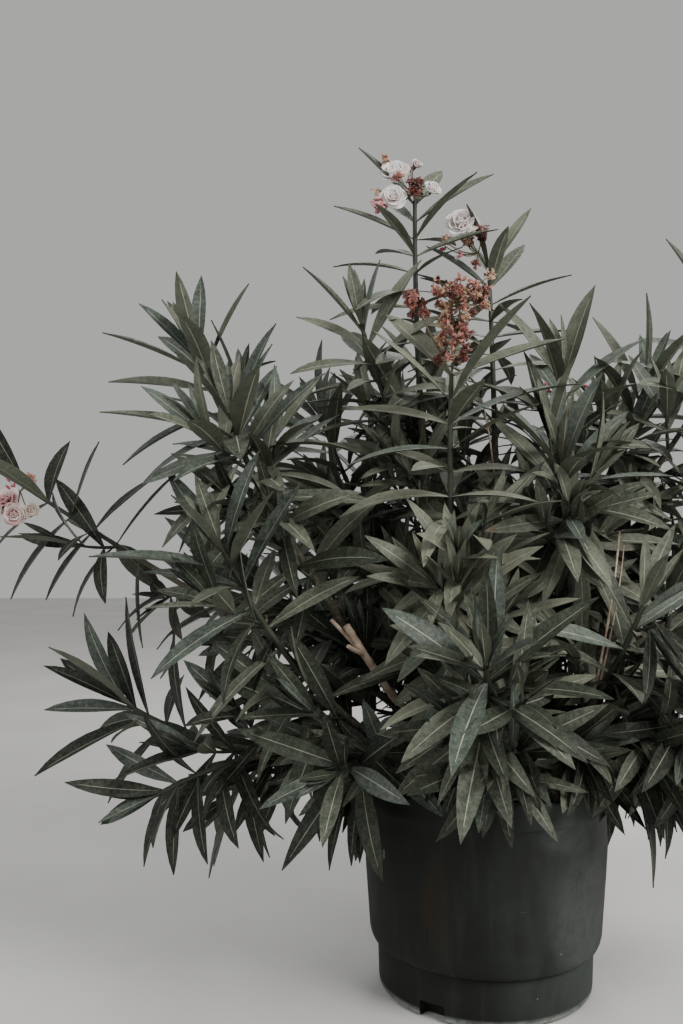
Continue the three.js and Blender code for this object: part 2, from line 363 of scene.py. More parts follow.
# The stems and where they run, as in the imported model.
# foot: bearing on the woody base in degrees, or on: the stem that bears it and the share of its length;
# bow: how far the middle lies off the straight line; leafy: the length below the tip that holds foliage;
# reach: the size of its leaves, as a share of the usual leaf.
stemRules = {
    "feetRadius": 0.040,
    "feetHeight": 0.298,
    "footRadius": 0.008,
    "branchRadius": 0.0055,
    "tipRadius": 0.0032,
    "intoLeaves": 0.03,  # how far up into the leafy length the bark goes
}
usualStem = {"leafy": 0.24, "reach": 1.12}
stems = {
    "tall": dict(foot=128, tip=(-0.099, 0.08, 1.195), bow=(-0.02, 0.008, 0), leafy=0.33, reach=0.92),
    "upper_left": dict(
        on=("tall", 0.5), tip=(-0.185, 0.02, 0.99), bow=(-0.01, -0.004, 0), leafy=0.17, reach=1.02,
    ),
    "left_back": dict(on=("tall", 0.2), tip=(-0.25, 0.16, 0.86), bow=(-0.008, 0.006, -0.012), leafy=0.29),
    "upper_right": dict(foot=52, tip=(0.025, 0.13, 1.102), bow=(0.006, 0.004, 0), leafy=0.30, reach=0.86),
    "back_right": dict(on=("upper_right", 0.25), tip=(0.25, 0.3, 0.83), bow=(0.01, 0.012, -0.015)),
    "back_right_low": dict(on=("back_right", 0.3), tip=(0.345, 0.265, 0.5), bow=(0, 0.01, 0.018), leafy=0.18),
    "back": dict(foot=95, tip=(-0.05, 0.33, 0.925), bow=(0, 0.022, -0.01), leafy=0.27),
    "back_low": dict(on=("back", 0.25), tip=(-0.03, 0.4, 0.52), bow=(0.005, 0.01, 0.014), leafy=0.18),
    "back_left_low": dict(on=("left_back", 0.15), tip=(-0.415, 0.3, 0.57), bow=(-0.008, 0.01, -0.008)),
    "right": dict(foot=5, tip=(0.123, 0.02, 0.909), bow=(0.02, 0, 0)),
    "right_inner": dict(
        on=("right", 0.52), tip=(0.096, -0.092, 0.772), bow=(0.002, -0.008, -0.008), leafy=0.13,
    ),
    "far_right": dict(
        on=("right", 0.3), tip=(0.272, 0.09, 0.912), bow=(-0.006, 0.002, -0.008), leafy=0.20, reach=1.08,
    ),
    "right_edge": dict(on=("far_right", 0.32), tip=(0.393, 0.02, 0.99), bow=(0.014, -0.006, -0.012)),
    "right_side": dict(on=("right", 0.16), tip=(0.475, 0.06, 0.7), bow=(0.005, 0.005, -0.022), leafy=0.26),
    "right_front": dict(foot=320, tip=(0.19, -0.17, 0.577), bow=(0.014, -0.014, -0.016), leafy=0.18),
    "low_right": dict(on=("right_front", 0.25), tip=(0.222, -0.104, 0.352), bow=(0, 0, 0.026), leafy=0.11),
    "low_right_side": dict(
        on=("low_right", 0.5), tip=(0.44, -0.185, 0.445), bow=(0, -0.006, 0.012), leafy=0.19,
    ),
    "front": dict(foot=282, tip=(-0.039, -0.3, 0.518), bow=(-0.004, -0.02, 0.008), leafy=0.15),
    "centre": dict(foot=245, tip=(-0.06, -0.1, 0.898), bow=(-0.016, -0.017, 0)),
    "left_front": dict(
        foot=214, tip=(-0.378, -0.17, 0.659), bow=(-0.031, -0.008, -0.038), leafy=0.29, reach=1.1,
    ),
    "front_low_left": dict(
        on=("left_front", 0.2), tip=(-0.222, -0.22, 0.363), bow=(-0.006, -0.006, 0.006),
        leafy=0.11, reach=1.0,
    ),
    "low_left": dict(foot=187, tip=(-0.477, -0.11, 0.305), bow=(0, 0, 0.058), leafy=0.16, reach=0.98),
    "low_left_far": dict(
        on=("low_left", 0.6), tip=(-0.533, -0.02, 0.417), bow=(0, 0.006, -0.018), leafy=0.13, reach=1.08,
    ),
    "low_hanging": dict(
        on=("low_left", 0.48), tip=(-0.392, 0.05, 0.25), bow=(0, 0.008, 0.024), leafy=0.12, reach=0.90,
    ),
    "left_top": dict(
        foot=160, tip=(-0.432, -0.04, 0.94), bow=(-0.024, -0.032, -0.008), leafy=0.30, reach=1.04,
    ),
    "left_upper": dict(
        on=("left_top", 0.58), tip=(-0.372, -0.11, 0.842), bow=(-0.004, -0.01, -0.01), leafy=0.15,
    ),
    "far_left": dict(on=("left_top", 0.2), tip=(-0.715, 0.06, 0.746), bow=(0, 0.01, -0.012), reach=1.05),
}
stems = {name: {**usualStem, **stem} for name, stem in stems.items()}
prunedStub = dict(on=("left_top", 0.15), tip=(-0.208, -0.084, 0.541), bow=(0, -0.008, -0.004))
curves = {}


def bowedCurve(foot, tip, bow, steps=60):
    # a quadratic curve whose middle lies off the straight line by bow, with its lengths
    foot, tip, bow = (np.array(p, float) for p in (foot, tip, bow))
    middle = (foot + tip) / 2 + 2 * bow
    t = np.linspace(0, 1, steps + 1)[:, None]
    places = (1 - t) ** 2 * foot + 2 * t * (1 - t) * middle + t ** 2 * tip
    pieces = np.linalg.norm(np.diff(places, axis=0), axis=1)
    return {"places": places, "lengths": np.concatenate([[0], np.cumsum(pieces)])}


def lengthOf(curve):
    return curve["lengths"][-1]


def placeOn(curve, distance):
    return np.array([np.interp(distance, curve["lengths"], curve["places"][:, i]) for i in range(3)])


def wayOn(curve, distance):
    # the direction of a curve, from points a little before and after
    step = 0.004
    near, far = max(distance - step, 0), min(distance + step, lengthOf(curve))
    return unit(placeOn(curve, far) - placeOn(curve, near))


def curveOf(name, stem):
    # a stem's curve, worked out after the one that bears it
    if name not in curves:
        if "on" in stem:
            bearer, share = stem["on"]
            bearerCurve = curveOf(bearer, stems[bearer])
            foot = placeOn(bearerCurve, share * lengthOf(bearerCurve))
        else:
            foot = around(math.radians(stem["foot"]), stemRules["feetRadius"], stemRules["feetHeight"])
        curves[name] = bowedCurve(foot, stem["tip"], stem["bow"])
    return curves[name]


for name, stem in stems.items():
    curveOf(name, stem)
print("stems laid out:", len(curves))


# One leaf, modelled once: a flat seven-sided tube with a raised rib on top and a broader one below

leafShape = {
    "sides": 7,
    "segments": 8,
    "ribHalfWidth": 0.024,  # as a share of the leaf's width
    "ribHeight": 0.0011,
    "bladeHeight": 0.0007,
    "backBroader": 1.2,  # the rib below, as a share of the one on top
    "backDepth": -0.0010,
    "ribWithin": 1.5,  # faces nearer to the middle than this many half widths belong to the rib
    "ribEnd": 0.88,  # the rib takes the blade's colour from here to the tip
    "widestShift": 1.06,  # above 1 the widest place lies past the middle
    "roundness": 0.80,
    "tipNarrower": 0.10,
    "footWidth": 0.15,
    "footWidens": 6.5,
    "stalk": 0.11,  # width at the foot, as a share of the full width
    "stalkEnd": 0.9,
    "leastWidth": 0.015,
}
# how every leaf and petal bends: the arch grows with this power of the length; waves of the rim's ripple
bending = {"archPower": 1.25, "waves": 2.3}


def leafWidth(along):
    # narrow stalk, widest a little past the middle, pointed tip
    s = leafShape
    blade = math.sin(math.pi * min(along ** s["widestShift"], 1)) ** s["roundness"]
    blade *= 1 - s["tipNarrower"] * along
    stalk = s["stalk"] * max(0.0, 1 - along / s["stalkEnd"])
    return max(blade * min(1.0, s["footWidth"] + along * s["footWidens"]), stalk, s["leastWidth"])


def tubeSides():
    # how far out and how high each pair of long edges of a tube of radius 0.5 lies, from its crest down
    turns = [math.radians(90 - 360 / leafShape["sides"] * i) for i in range(4)]
    return [(0.5 * math.cos(turn), 0.5 * math.sin(turn)) for turn in turns]


def runsAlong(piece, edge):
    a, b = (piece.data.vertices[i].co.y for i in edge.vertices)
    return abs(a - b) > 0.5


def modelLeaf():
    deselectAll()
    bpy.ops.mesh.primitive_cylinder_add(
        vertices=leafShape["sides"], radius=0.5, depth=1, location=(0, 0.5, 0),
        rotation=(math.radians(90), 0, 0)
    )
    leaf = startPiece("leafShape")
    selectWhere(leaf, "EDGE", lambda edge: runsAlong(leaf, edge))
    bpy.ops.mesh.subdivide(number_cuts=leafShape["segments"] - 1)
    bpy.ops.object.mode_set(mode="OBJECT")
    crest, ribSide, rim, back = tubeSides()
    aims = [  # where each pair of long edges goes: half width and height
        (crest, 0.0, leafShape["ribHeight"]),
        (ribSide, leafShape["ribHalfWidth"], leafShape["bladeHeight"]),
        (rim, 0.5, 0.0),
        (back, leafShape["ribHalfWidth"] * leafShape["backBroader"], leafShape["backDepth"]),
    ]
    members = [{v.index for v in leaf.data.vertices if abs(v.co.z - at[1]) < 0.02} for at, _, _ in aims]
    for chosen, (at, halfWidth, height) in zip(members, aims):
        selectWhere(leaf, "VERT", lambda point: point.index in chosen)
        spread = halfWidth / at[0] if halfWidth else 1
        bpy.ops.transform.resize(value=(spread, 1, 1), center_override=(0, 0.5, 0))
        bpy.ops.transform.translate(value=(0, 0, height - at[1]))
    for i in range(leafShape["segments"] + 1):
        along = i / leafShape["segments"]
        resizeRow(leaf, along, leafWidth(along))
    bpy.ops.object.mode_set(mode="OBJECT")
    return leaf


def shapeArrays(piece, mapOf, rounded=False):
    # a modelled shape as arrays, from which many bent copies are made; the shape itself is removed
    mesh = piece.data
    places = np.array([v.co for v in mesh.vertices])
    corners = np.array([i for p in mesh.polygons for i in p.vertices])
    totals = np.array([len(p.vertices) for p in mesh.polygons])
    coords = np.array([mapOf(places[i]) for i in corners])
    bpy.data.objects.remove(piece)
    return {"places": places, "corners": corners, "totals": totals, "coords": coords, "rounded": rounded}


def leafMap(place):
    return 0.5 + place[0] / leafWidth(min(max(place[1], 0), 1)), place[1]


def kindOf(face, points):
    # 0 blade, 1 rib, 2 underside
    corners = [points[i].co for i in face.vertices]
    across = max(abs(co.x) / leafWidth(co.y) for co in corners)
    along = sum(co.y for co in corners) / len(corners)
    if across < leafShape["ribHalfWidth"] * leafShape["ribWithin"] and along < leafShape["ribEnd"]:
        return 1
    return 2 if face.normal.z < 0 else 0


def leafArrays():
    leaf = modelLeaf()
    kinds = np.array([kindOf(face, leaf.data.vertices) for face in leaf.data.polygons])
    return dict(shapeArrays(leaf, leafMap), kinds=kinds)


def bentCopies(shape, parts):
    # every copy starts at its root, runs along its own way, arches away from its upper side, veers and twists
    def valuesOf(key):
        return np.array([part[key] for part in parts], float)

    rest = shape["places"]
    steps = np.unique(np.round(rest[:, 1], 5))
    ring = np.argmin(np.abs(rest[:, 1][:, None] - steps[None, :]), axis=1)
    forward, upper = unit(valuesOf("along")), valuesOf("up")
    upward = unit(upper - forward * np.sum(forward * upper, axis=1, keepdims=True))
    side = np.cross(forward, upward)
    singles = ("length", "width", "arch", "veer", "twist", "fold", "ripple", "phase")
    length, width, arch, veer, twist, fold, ripple, phase = (valuesOf(key)[:, None] for key in singles)

    def wayAt(step):
        lean = arch * step ** bending["archPower"]
        return unit(np.cos(lean) * forward - np.sin(lean) * upward + np.sin(veer * step) * side)

    centres, acrosses, normals = [], [], []
    at = valuesOf("root")
    before = steps[0]
    for step in steps:
        if step > before:
            at = at + wayAt((step + before) / 2) * (step - before) * length
        before = step
        way = wayAt(step)
        lean = arch * step ** bending["archPower"]
        across = unit(np.cross(way, np.sin(lean) * forward + np.cos(lean) * upward))
        normal = np.cross(across, way)
        turn = twist * step
        centres.append(at)
        acrosses.append(np.cos(turn) * across + np.sin(turn) * normal)
        normals.append(np.cos(turn) * normal - np.sin(turn) * across)
    centres, acrosses, normals = (np.stack(a, axis=1)[:, ring] for a in (centres, acrosses, normals))
    out = rest[None, :, 0] * width
    waves = np.sin(rest[None, :, 1] * 2 * math.pi * bending["waves"] + phase) * ripple
    height = rest[None, :, 2] * (width if shape["rounded"] else 1)
    lift = height + np.abs(out) * np.sin(fold) + out * waves
    return centres + acrosses * (out * np.cos(fold))[..., None] + normals * lift[..., None]


def joinedPiece(name, shape, places, looks):
    # places: copies x points x 3, looks: copies x faces
    copies, points = places.shape[0], places.shape[1]
    corners = (shape["corners"][None, :] + np.arange(copies)[:, None] * points).ravel()
    totals = np.tile(shape["totals"], copies)
    mesh = bpy.data.meshes.new(name)
    mesh.vertices.add(copies * points)
    mesh.vertices.foreach_set("co", places.astype(np.float32).ravel())
    mesh.loops.add(len(corners))
    mesh.loops.foreach_set("vertex_index", corners.astype(np.int32))
    mesh.polygons.add(len(totals))
    mesh.polygons.foreach_set("loop_start", (np.cumsum(totals) - totals).astype(np.int32))
    mesh.polygons.foreach_set("material_index", looks.astype(np.int32).ravel())
    mesh.update(calc_edges=True)
    layer = mesh.uv_layers.new(name="ownMap")
    layer.data.foreach_set("uv", np.tile(shape["coords"], (copies, 1)).astype(np.float32).ravel())
    piece = bpy.data.objects.new(name, mesh)
    bpy.context.scene.collection.objects.link(piece)
    smoothFaces(piece, degrees=50)
    return piece


leaf = leafArrays()
print("leaf modelled:", len(leaf["totals"]), "faces")


# Growing: whorls of three leaves down every shoot, each turned half a gap from the last, and side twigs

growth = {
    "leafLength": 0.156,
    "leafSlim": 0.216,  # width over length
    "leafTurn": 120,  # degrees from one leaf of a whorl to the next, and from whorl to whorl
    "whorlTurn": 60,
    "firstGap": 0.016,  # from the top whorl to the next
    "gapGrowth": 1.35,
    "shareGrowth": 0.3,  # how much longer each whorl is than the one above, until its leaves are full
    "lastGap": 0.004,  # no whorl is nearer to the foot
    "openTop": 12,  # degrees between leaf and shoot at the tip
    "openFoot": 88,
    "openWithin": 0.050,  # length over which a shoot's leaves open out
    "archTop": 4,
    "archFoot": 46,
    "oldShorter": 0.10,
    "youngFold": 14,
    "unfolding": 2.5,
    "lift": 0.10,
    "upByShoot": 0.7,  # a blade's upper side turns to the shoot's tip, the sky and the plant's open side
    "upBySky": 0.5,
    "upByLight": -0.5,
    "toneSpread": 0.5,  # between shoots, and then between leaves
    "tintSpread": 0.8,
    "youngAge": 0.45,
    "paleTone": 2.6,  # from here on a bluer leaf has the paler of the two bluer tints
    "warmTints": 6,
    "shadeTints": 2,  # tints this dark stand for leaves in shade: painted shade with a darker rib and less dust and gloss
    "dryTip": 0.86,
    "dry": (0.004, 0.010),  # share of the young leaves with dry tips, and what age adds
    "innerLeaf": (0.72, 1.04),
    "innerStart": 0.05,
    "innerGap": 0.034,  # one side twig to this much of the stem below its leafy length
    "openSide": 2.4,  # times that gap where the crown is open
    "fuller": 0.3,  # and less by this share of it where it is full
    "intoHead": 0.6,  # how far into a full head the inner shoots go on
    "twigWithin": 0.62,  # the share of a leafy length that bears side twigs
    "twigTurn": 2.4,
    "twigLeaf": 0.86,
}
# how much leaves differ: spans of a share of the usual value, and spreads in degrees
chances = {
    "width": (0.82, 1.14),
    "arch": (0.4, 1.4),
    "length": (0.84, 1.14),
    "fold": (8, 20),
    "ripple": (0, 0.02),
    "veer": 7,
    "twist": 14,
    "bearing": 9,
    "open": 8,
}
# side twigs: degrees from the stem, length, and as shares of it how far the tip lifts and the middle bows
headTwig = {"open": (34, 58), "length": (0.05, 0.09)}
innerTwig = {"open": (40, 75), "length": (0.05, 0.09)}
skirtTwig = {"open": (50, 80), "length": (0.04, 0.07)}
twigBend = {"lift": 0.18, "outward": 0.06, "down": 0.02}
# heights, and distances from the pot's middle, that leaves keep clear of
potRoom = {"rimTop": 0.322, "inside": 0.168, "outside": 0.200, "soil": 0.284, "floor": 0.012}
# where no leaf stands, middle and radius: the open side of each flower head, of the pruned stub
# and of two dead twigs
clearRoom = [
    ((-0.112, 0.066, 1.222), 0.056),
    ((-0.026, 0.090, 1.176), 0.020),
    ((-0.045, -0.098, 1.014), 0.048),
    ((-0.060, -0.104, 0.952), 0.038),
    ((-0.118, -0.098, 1.000), 0.024),
    ((-0.152, 0.062, 1.182), 0.018),
    ((-0.735, 0.050, 0.715), 0.046),
    ((-0.206, -0.095, 0.545), 0.032),
    ((-0.188, -0.090, 0.510), 0.028),
    ((0.162, -0.112, 0.640), 0.024),
]
hues = np.random.default_rng(11)


def acrossOf(way):
    # two directions across a shoot
    sideways = unit(np.cross(way, (0.0, 1.0, 0.15)))
    return sideways, np.cross(way, sideways)


def outwardOf(way, bearing):
    # the direction away from a shoot at a bearing round it
    across, over = acrossOf(way)
    return across * math.cos(bearing) + over * math.sin(bearing)


def tilted(way, outward, angle):
    return way * math.cos(angle) + outward * math.sin(angle)


def outwardBearing(curve, distance):
    # the bearing round a stem that points away from the middle of the pot
    root = placeOn(curve, distance)
    across, over = acrossOf(wayOn(curve, distance))
    away = unit(np.array([root[0], root[1], 0.0]))
    return math.atan2(away @ over, away @ across)


def tintOf(tone, age, fresh):
    # the darkest tint is 0; a share of the young leaves, fresh, has one of the two bluer tints
    if age < growth["youngAge"] and hues.random() < fresh:
        return growth["warmTints"] + int(tone > growth["paleTone"])
    return int(np.clip(round(tone + hues.normal(0, growth["tintSpread"])), 0, growth["warmTints"] - 1))


def standsClear(leaf):
    # a leaf passes over the rim or stays outside the wall, and leaves compost and flower heads free
    side = np.cross(leaf["along"], leaf["up"])
    up = np.cross(unit(side), leaf["along"])
    at = np.array(leaf["root"], float)
    steps = 8
    for i in range(steps):
        step = (i + 0.5) / steps
        way = tilted(leaf["along"], -up, leaf["arch"] * step ** bending["archPower"])
        at = at + unit(way + side * math.sin(leaf["veer"] * step)) * leaf["length"] / steps
        out = math.hypot(at[0], at[1])
        if at[2] < potRoom["rimTop"] and potRoom["inside"] < out < potRoom["outside"]:
            return False
        if at[2] < potRoom["soil"] and out < potRoom["outside"]:
            return False
        for middle, room in clearRoom:
            if math.hypot(at[0] - middle[0], at[2] - middle[2]) < room and at[1] < middle[1]:
                return False
    return at[2] > potRoom["floor"]


def addLeaf(leaves, root, along, up, length, age, tone, fresh, rng):
    level = math.hypot(along[0], along[1])  # how near to level it lies
    young = max(0.0, 1 - age * growth["unfolding"])
    arch = growth["archFoot"] * age * level
    leaf = {
        "root": root,
        "along": along,
        "up": up,
        "length": length,
        "width": length * growth["leafSlim"] * rng.uniform(*chances["width"]),
        "arch": math.radians(growth["archTop"] + arch * rng.uniform(*chances["arch"])),
        "veer": math.radians(rng.normal(0, chances["veer"])),
        "twist": math.radians(rng.normal(0, chances["twist"])),
        "fold": math.radians(rng.uniform(*chances["fold"]) + growth["youngFold"] * young),
        "ripple": rng.uniform(*chances["ripple"]),
        "phase": rng.uniform(0, fullTurn),
        "tint": tintOf(tone, age, fresh),
        "dry": hues.random() < growth["dry"][1] * age + growth["dry"][0],
    }
    if standsClear(leaf):
        leaves.append(leaf)


def growShoot(leaves, curve, leafy, size, rng, mass):
    # whorls of leaves from the tip of a shoot down its leafy length, by the rules of its mass
    end = lengthOf(curve)
    distance, level = end - mass["bare"], 0
    gap = mass["gap"] if mass["bare"] else growth["firstGap"]
    tone = mass["tone"] + rng.normal(0, growth["toneSpread"])
    while distance > max(end - leafy, growth["lastGap"]):
        age = (end - distance) / leafy
        root, axis = placeOn(curve, distance), wayOn(curve, distance)
        share = 1.0 if mass["bare"] else min(1.0, mass["first"] + growth["shareGrowth"] * level)
        opening = growth["openFoot"] - growth["openTop"]
        opening = growth["openTop"] + opening * (1 - math.exp(-(end - distance) / growth["openWithin"]))
        lift = growth["lift"] - (mass["sag"] * age + mass["hang"])
        upward = np.array([0, growth["upByLight"], growth["upBySky"]])
        for k in range(3):
            if rng.random() < mass["missing"] * age:
                continue
            bearing = mass["turn"] + growth["whorlTurn"] * level + growth["leafTurn"] * k
            bearing = math.radians(bearing + rng.normal(0, chances["bearing"]))
            opened = math.radians(max(opening, mass["open"]) + rng.normal(0, chances["open"]))
            along = unit(tilted(axis, outwardOf(axis, bearing), opened) + np.array([0, 0, lift]))
            up = unit(axis * growth["upByShoot"] + upward)
            length = size * share * rng.uniform(*chances["length"]) * (1 - growth["oldShorter"] * age)
            addLeaf(leaves, root, along, up, length, age, tone, mass["fresh"], rng)
        distance -= gap
        gap = min(gap * growth["gapGrowth"], mass["gap"])
        level += 1


def addTwig(twigs, curve, distance, bearing, rule, rng):
    root = placeOn(curve, distance)
    axis = wayOn(curve, distance)
    opened = math.radians(rng.uniform(*rule["open"]))
    length = rng.uniform(*rule["length"])
    outward = outwardOf(axis, bearing)
    tip = root + unit(tilted(axis, outward, opened)) * length + np.array([0, 0, twigBend["lift"] * length])
    bow = outward * length * twigBend["outward"] - np.array([0, 0, twigBend["down"] * length])
    twigs.append(bowedCurve(root, tip, bow, steps=12))
    return twigs[-1]


# How each mass of leaves grows. turn: bearing of its top whorl in degrees; seed: picks its chances;
# gap: between its whorls; twigs: how many; tone: 0 dark to 5 pale, which holds painted shade and light: low
# for the low, left and hanging masses that stand in shade, high for the lit top heads; fresh: the share of
# bluer young leaves;
# sag: how far its old leaves drop and hang: how far all do; missing: the share of the oldest that are gone;
# first: length of the top whorl as a share of a full leaf; bare and open: the leafless length under
# an old flower head and the least angle that the leaves below it stand at; inner: tone of its inner shoots,
# as a share of its own, lower where they stand in shade (painted shade).
usualMass = {
    "gap": 0.036, "twigs": 2, "fresh": 0.42, "sag": 0.35, "hang": 0.0, "missing": 0.22, "first": 0.52,
    "bare": 0.0, "open": 0.0, "inner": 0.95,
}
masses = {
    "tall": dict(turn=0, seed=7, gap=0.027, twigs=0, tone=3.7, bare=0.008, open=54, missing=0.0),
    "upper_left": dict(turn=90, seed=18, gap=0.027, twigs=0, tone=3.9),
    "left_back": dict(turn=60, seed=28, tone=3.2),
    "upper_right": dict(turn=45, seed=13, gap=0.027, twigs=0, tone=3.2, bare=0.01, open=32, missing=0.0),
    "back_right": dict(turn=45, seed=16, tone=3.2),
    "back_right_low": dict(turn=60, seed=28, tone=1.2, sag=0.7),
    "back": dict(turn=90, seed=16, tone=3.4),
    "back_low": dict(turn=30, seed=34, tone=1.2, sag=0.7),
    "back_left_low": dict(turn=15, seed=31, tone=1.4, sag=0.5),
    "right": dict(turn=60, seed=16, gap=0.034, twigs=0, tone=3.5),
    "right_inner": dict(turn=90, seed=16, tone=3.2),
    "far_right": dict(turn=105, seed=31, gap=0.034, tone=3.2),
    "right_edge": dict(turn=105, seed=9, gap=0.042, twigs=1, tone=3.2),
    "right_side": dict(turn=15, seed=16, tone=2.4),
    "right_front": dict(turn=90, seed=21, gap=0.042, twigs=1, tone=2.7),
    "low_right": dict(turn=45, seed=19, gap=0.034, tone=-0.2, fresh=0.1, sag=1.1),
    "low_right_side": dict(turn=105, seed=22, tone=1.2, sag=0.6),
    "front": dict(turn=75, seed=36, gap=0.034, tone=1.9, sag=0.5),
    "centre": dict(
        turn=75, seed=19, gap=0.034, twigs=0, tone=5.0, sag=0.1, bare=0.004, open=56, missing=0.03,
    ),
    "centre_low": dict(turn=0, seed=22, tone=3.6),
    "left_front": dict(turn=15, seed=34, gap=0.034, tone=2.3, inner=0.5),
    "front_low_left": dict(turn=105, seed=23, gap=0.042, twigs=0, tone=0.0, fresh=0.2, sag=0.9),
    "low_left": dict(turn=105, seed=36, gap=0.034, twigs=0, tone=-0.7, fresh=0.2, sag=0.9),
    "low_left_far": dict(turn=60, seed=28, gap=0.034, twigs=0, tone=-0.4, fresh=0.2, sag=0.4, first=0.95),
    "low_hanging": dict(turn=105, seed=13, twigs=1, tone=-0.6, fresh=0.1, sag=1.2),
    "left_top": dict(turn=45, seed=4, gap=0.034, tone=2.5, inner=0.6, fresh=0.7),
    "left_upper": dict(turn=0, seed=34, gap=0.034, tone=2.5, inner=0.6, fresh=0.7),
    "far_left": dict(turn=45, seed=32, gap=0.042, twigs=1, tone=-2.4, fresh=0.0, bare=0.01, open=32),
}
masses = {name: {**usualMass, **mass} for name, mass in masses.items()}
twigGap = 0.033  # the widest gap between whorls on side twigs
innerMass = {**usualMass, "gap": twigGap, "sag": 0.7, "fresh": 0.15}
# painted shade: the leaves that hang over the rim are given a dark tone
skirtMass = {
    **usualMass, "gap": twigGap, "tone": -1.0, "sag": 0.5, "hang": 1.25, "missing": 0.35, "fresh": 0.0,
}
crown = {
    "leavesTop": ["tall", "upper_left", "upper_right", "left_back"],
    "leavesMiddle": ["centre", "centre_low", "front"],
    "leavesRight": ["right", "right_inner", "far_right", "right_edge", "right_side"],
    "leavesLowRight": ["right_front", "low_right", "low_right_side"],
    "leavesLeft": ["left_top", "left_upper", "left_front", "far_left"],
    "leavesLowLeft": ["low_left", "low_left_far", "low_hanging", "front_low_left"],
    "leavesBack": ["back", "back_low", "back_left_low", "back_right", "back_right_low"],
}
lowerHead = {"on": "centre", "from": 0.30, "to": 0.62}  # the second mass on a stem that bears two
# stems between which the view goes through, and heads that others stand before or behind, and so the fullest
openHeads = ["far_left", "low_left", "low_left_far", "low_hanging", "left_top"]
fullHeads = [
    "back", "back_low", "back_left_low", "back_right", "back_right_low", "right_inner", "left_back",
    "low_right_side", "right_side", "centre_low", "front",
]
# old shoots over the rim whose leaves hang: how many on each stem, and where they root
skirt = {
    "shoots": {
        "front": 2, "front_low_left": 2, "right_front": 3, "low_right": 3, "low_right_side": 3,
        "back": 3, "back_low": 3, "back_left_low": 3, "back_right": 3, "back_right_low": 3, "right_side": 3,
    },
    "fromPot": (0.10, 0.25),
    "aside": (0.3, 1.3),  # radians to the left and right of straight out
    "leaf": 0.94,
}
seeds = {"inside": 500, "perLetter": 31, "skirt": 900, "flowers": 7, "litter": 31}


def growHead(name):
    # the leaves and twigs of one mass of foliage
    mass = masses[name]
    rng = np.random.default_rng(mass["seed"])
    leaves, twigs = [], []
    if name in stems:
        curve, reach = curves[name], stems[name]["reach"]
        top = lengthOf(curve)
        foot = max(0.0, top - stems[name]["leafy"])
        growShoot(leaves, curve, top - foot, growth["leafLength"] * reach, rng, mass)
    else:
        curve, reach = curves[lowerHead["on"]], usualStem["reach"]
        foot, top = (lowerHead[key] * lengthOf(curve) for key in ("from", "to"))
    for i in range(mass["twigs"]):
        distance = foot + (top - foot) * (i + rng.uniform(0, 1)) / mass["twigs"] * growth["twigWithin"]
        bearing = i * growth["twigTurn"] + rng.uniform(0, fullTurn)
        twig = addTwig(twigs, curve, distance, bearing, headTwig, rng)
        side = dict(mass, turn=rng.uniform(0, growth["leafTurn"]), bare=0.0, open=0.0, gap=twigGap)
        growShoot(leaves, twig, lengthOf(twig), growth["leafLength"] * reach * growth["twigLeaf"], rng, side)
    return leaves, twigs


def growInside(name):
    # the older shaded shoots on a stem below its mass
    leaves, twigs = [], []
    if name not in stems:
        return leaves, twigs
    mass, curve = masses[name], curves[name]
    rng = np.random.default_rng(seeds["inside"] + len(name) * seeds["perLetter"] + mass["seed"])
    top = lengthOf(curve) - stems[name]["leafy"] * (1 - growth["intoHead"] if name in fullHeads else 1)
    gap = growth["innerGap"] * (growth["openSide"] if name in openHeads else 1)
    closer = growth["innerGap"] * (growth["fuller"] if name in fullHeads else 0)
    distance = growth["innerStart"]
    while distance < top:
        bearing = outwardBearing(curve, distance) + rng.normal(0, 1.0)
        twig = addTwig(twigs, curve, distance, bearing, innerTwig, rng)
        # painted shade: inner shoots take a share of their mass's tone, darker where they stand deep in shade
        inner = dict(innerMass, turn=rng.uniform(0, growth["leafTurn"]), tone=mass["tone"] * mass["inner"])
        size = growth["leafLength"] * rng.uniform(*growth["innerLeaf"])
        growShoot(leaves, twig, lengthOf(twig), size, rng, inner)
        distance = distance + gap - closer
    return leaves, twigs


def growSkirt(name):
    leaves, twigs = [], []
    count = skirt["shoots"].get(name, 0)
    if not count:
        return leaves, twigs
    rng = np.random.default_rng(seeds["skirt"] + len(name))
    curve = curves[name]
    out = np.hypot(curve["places"][:, 0], curve["places"][:, 1])
    near, far = (np.interp(reach, out, curve["lengths"]) for reach in skirt["fromPot"])
    for i in range(count):
        distance = near + (far - near) * (i + rng.uniform(0, 1)) / count
        bearing = outwardBearing(curve, distance) + (1 if i % 2 else -1) * rng.uniform(*skirt["aside"])
        twig = addTwig(twigs, curve, distance, bearing, skirtTwig, rng)
        size = growth["leafLength"] * skirt["leaf"]
        hanging = dict(skirtMass, turn=rng.uniform(0, growth["leafTurn"]))
        growShoot(leaves, twig, lengthOf(twig), size, rng, hanging)
    return leaves, twigs


# Leaf finishes: six tints of the blade from dark to pale and two bluer ones, rib, underside and dry tips. The
# tints are dealt out by the masses' tones, so the dark ones mostly paint shade on low, inner and hanging
# leaves and the pale ones paint light on the top heads.

leafTints = [
    (0.015, 0.020, 0.013),
    (0.030, 0.039, 0.025),
    (0.064, 0.078, 0.052),
    (0.104, 0.120, 0.082),
    (0.142, 0.156, 0.110),
    (0.188, 0.198, 0.142),
    (0.054, 0.076, 0.061),
    (0.102, 0.130, 0.107),
]
bladeFinish = {"roughness": 0.56, "dust": 0.7, "veins": 0.35, "gloss": 0.34}
# painted shade: the darkest tints lose some of their dust and gloss
shadeFinish = {"roughness": 0.56, "dust": 0.3, "veins": 0.35, "gloss": 0.2}
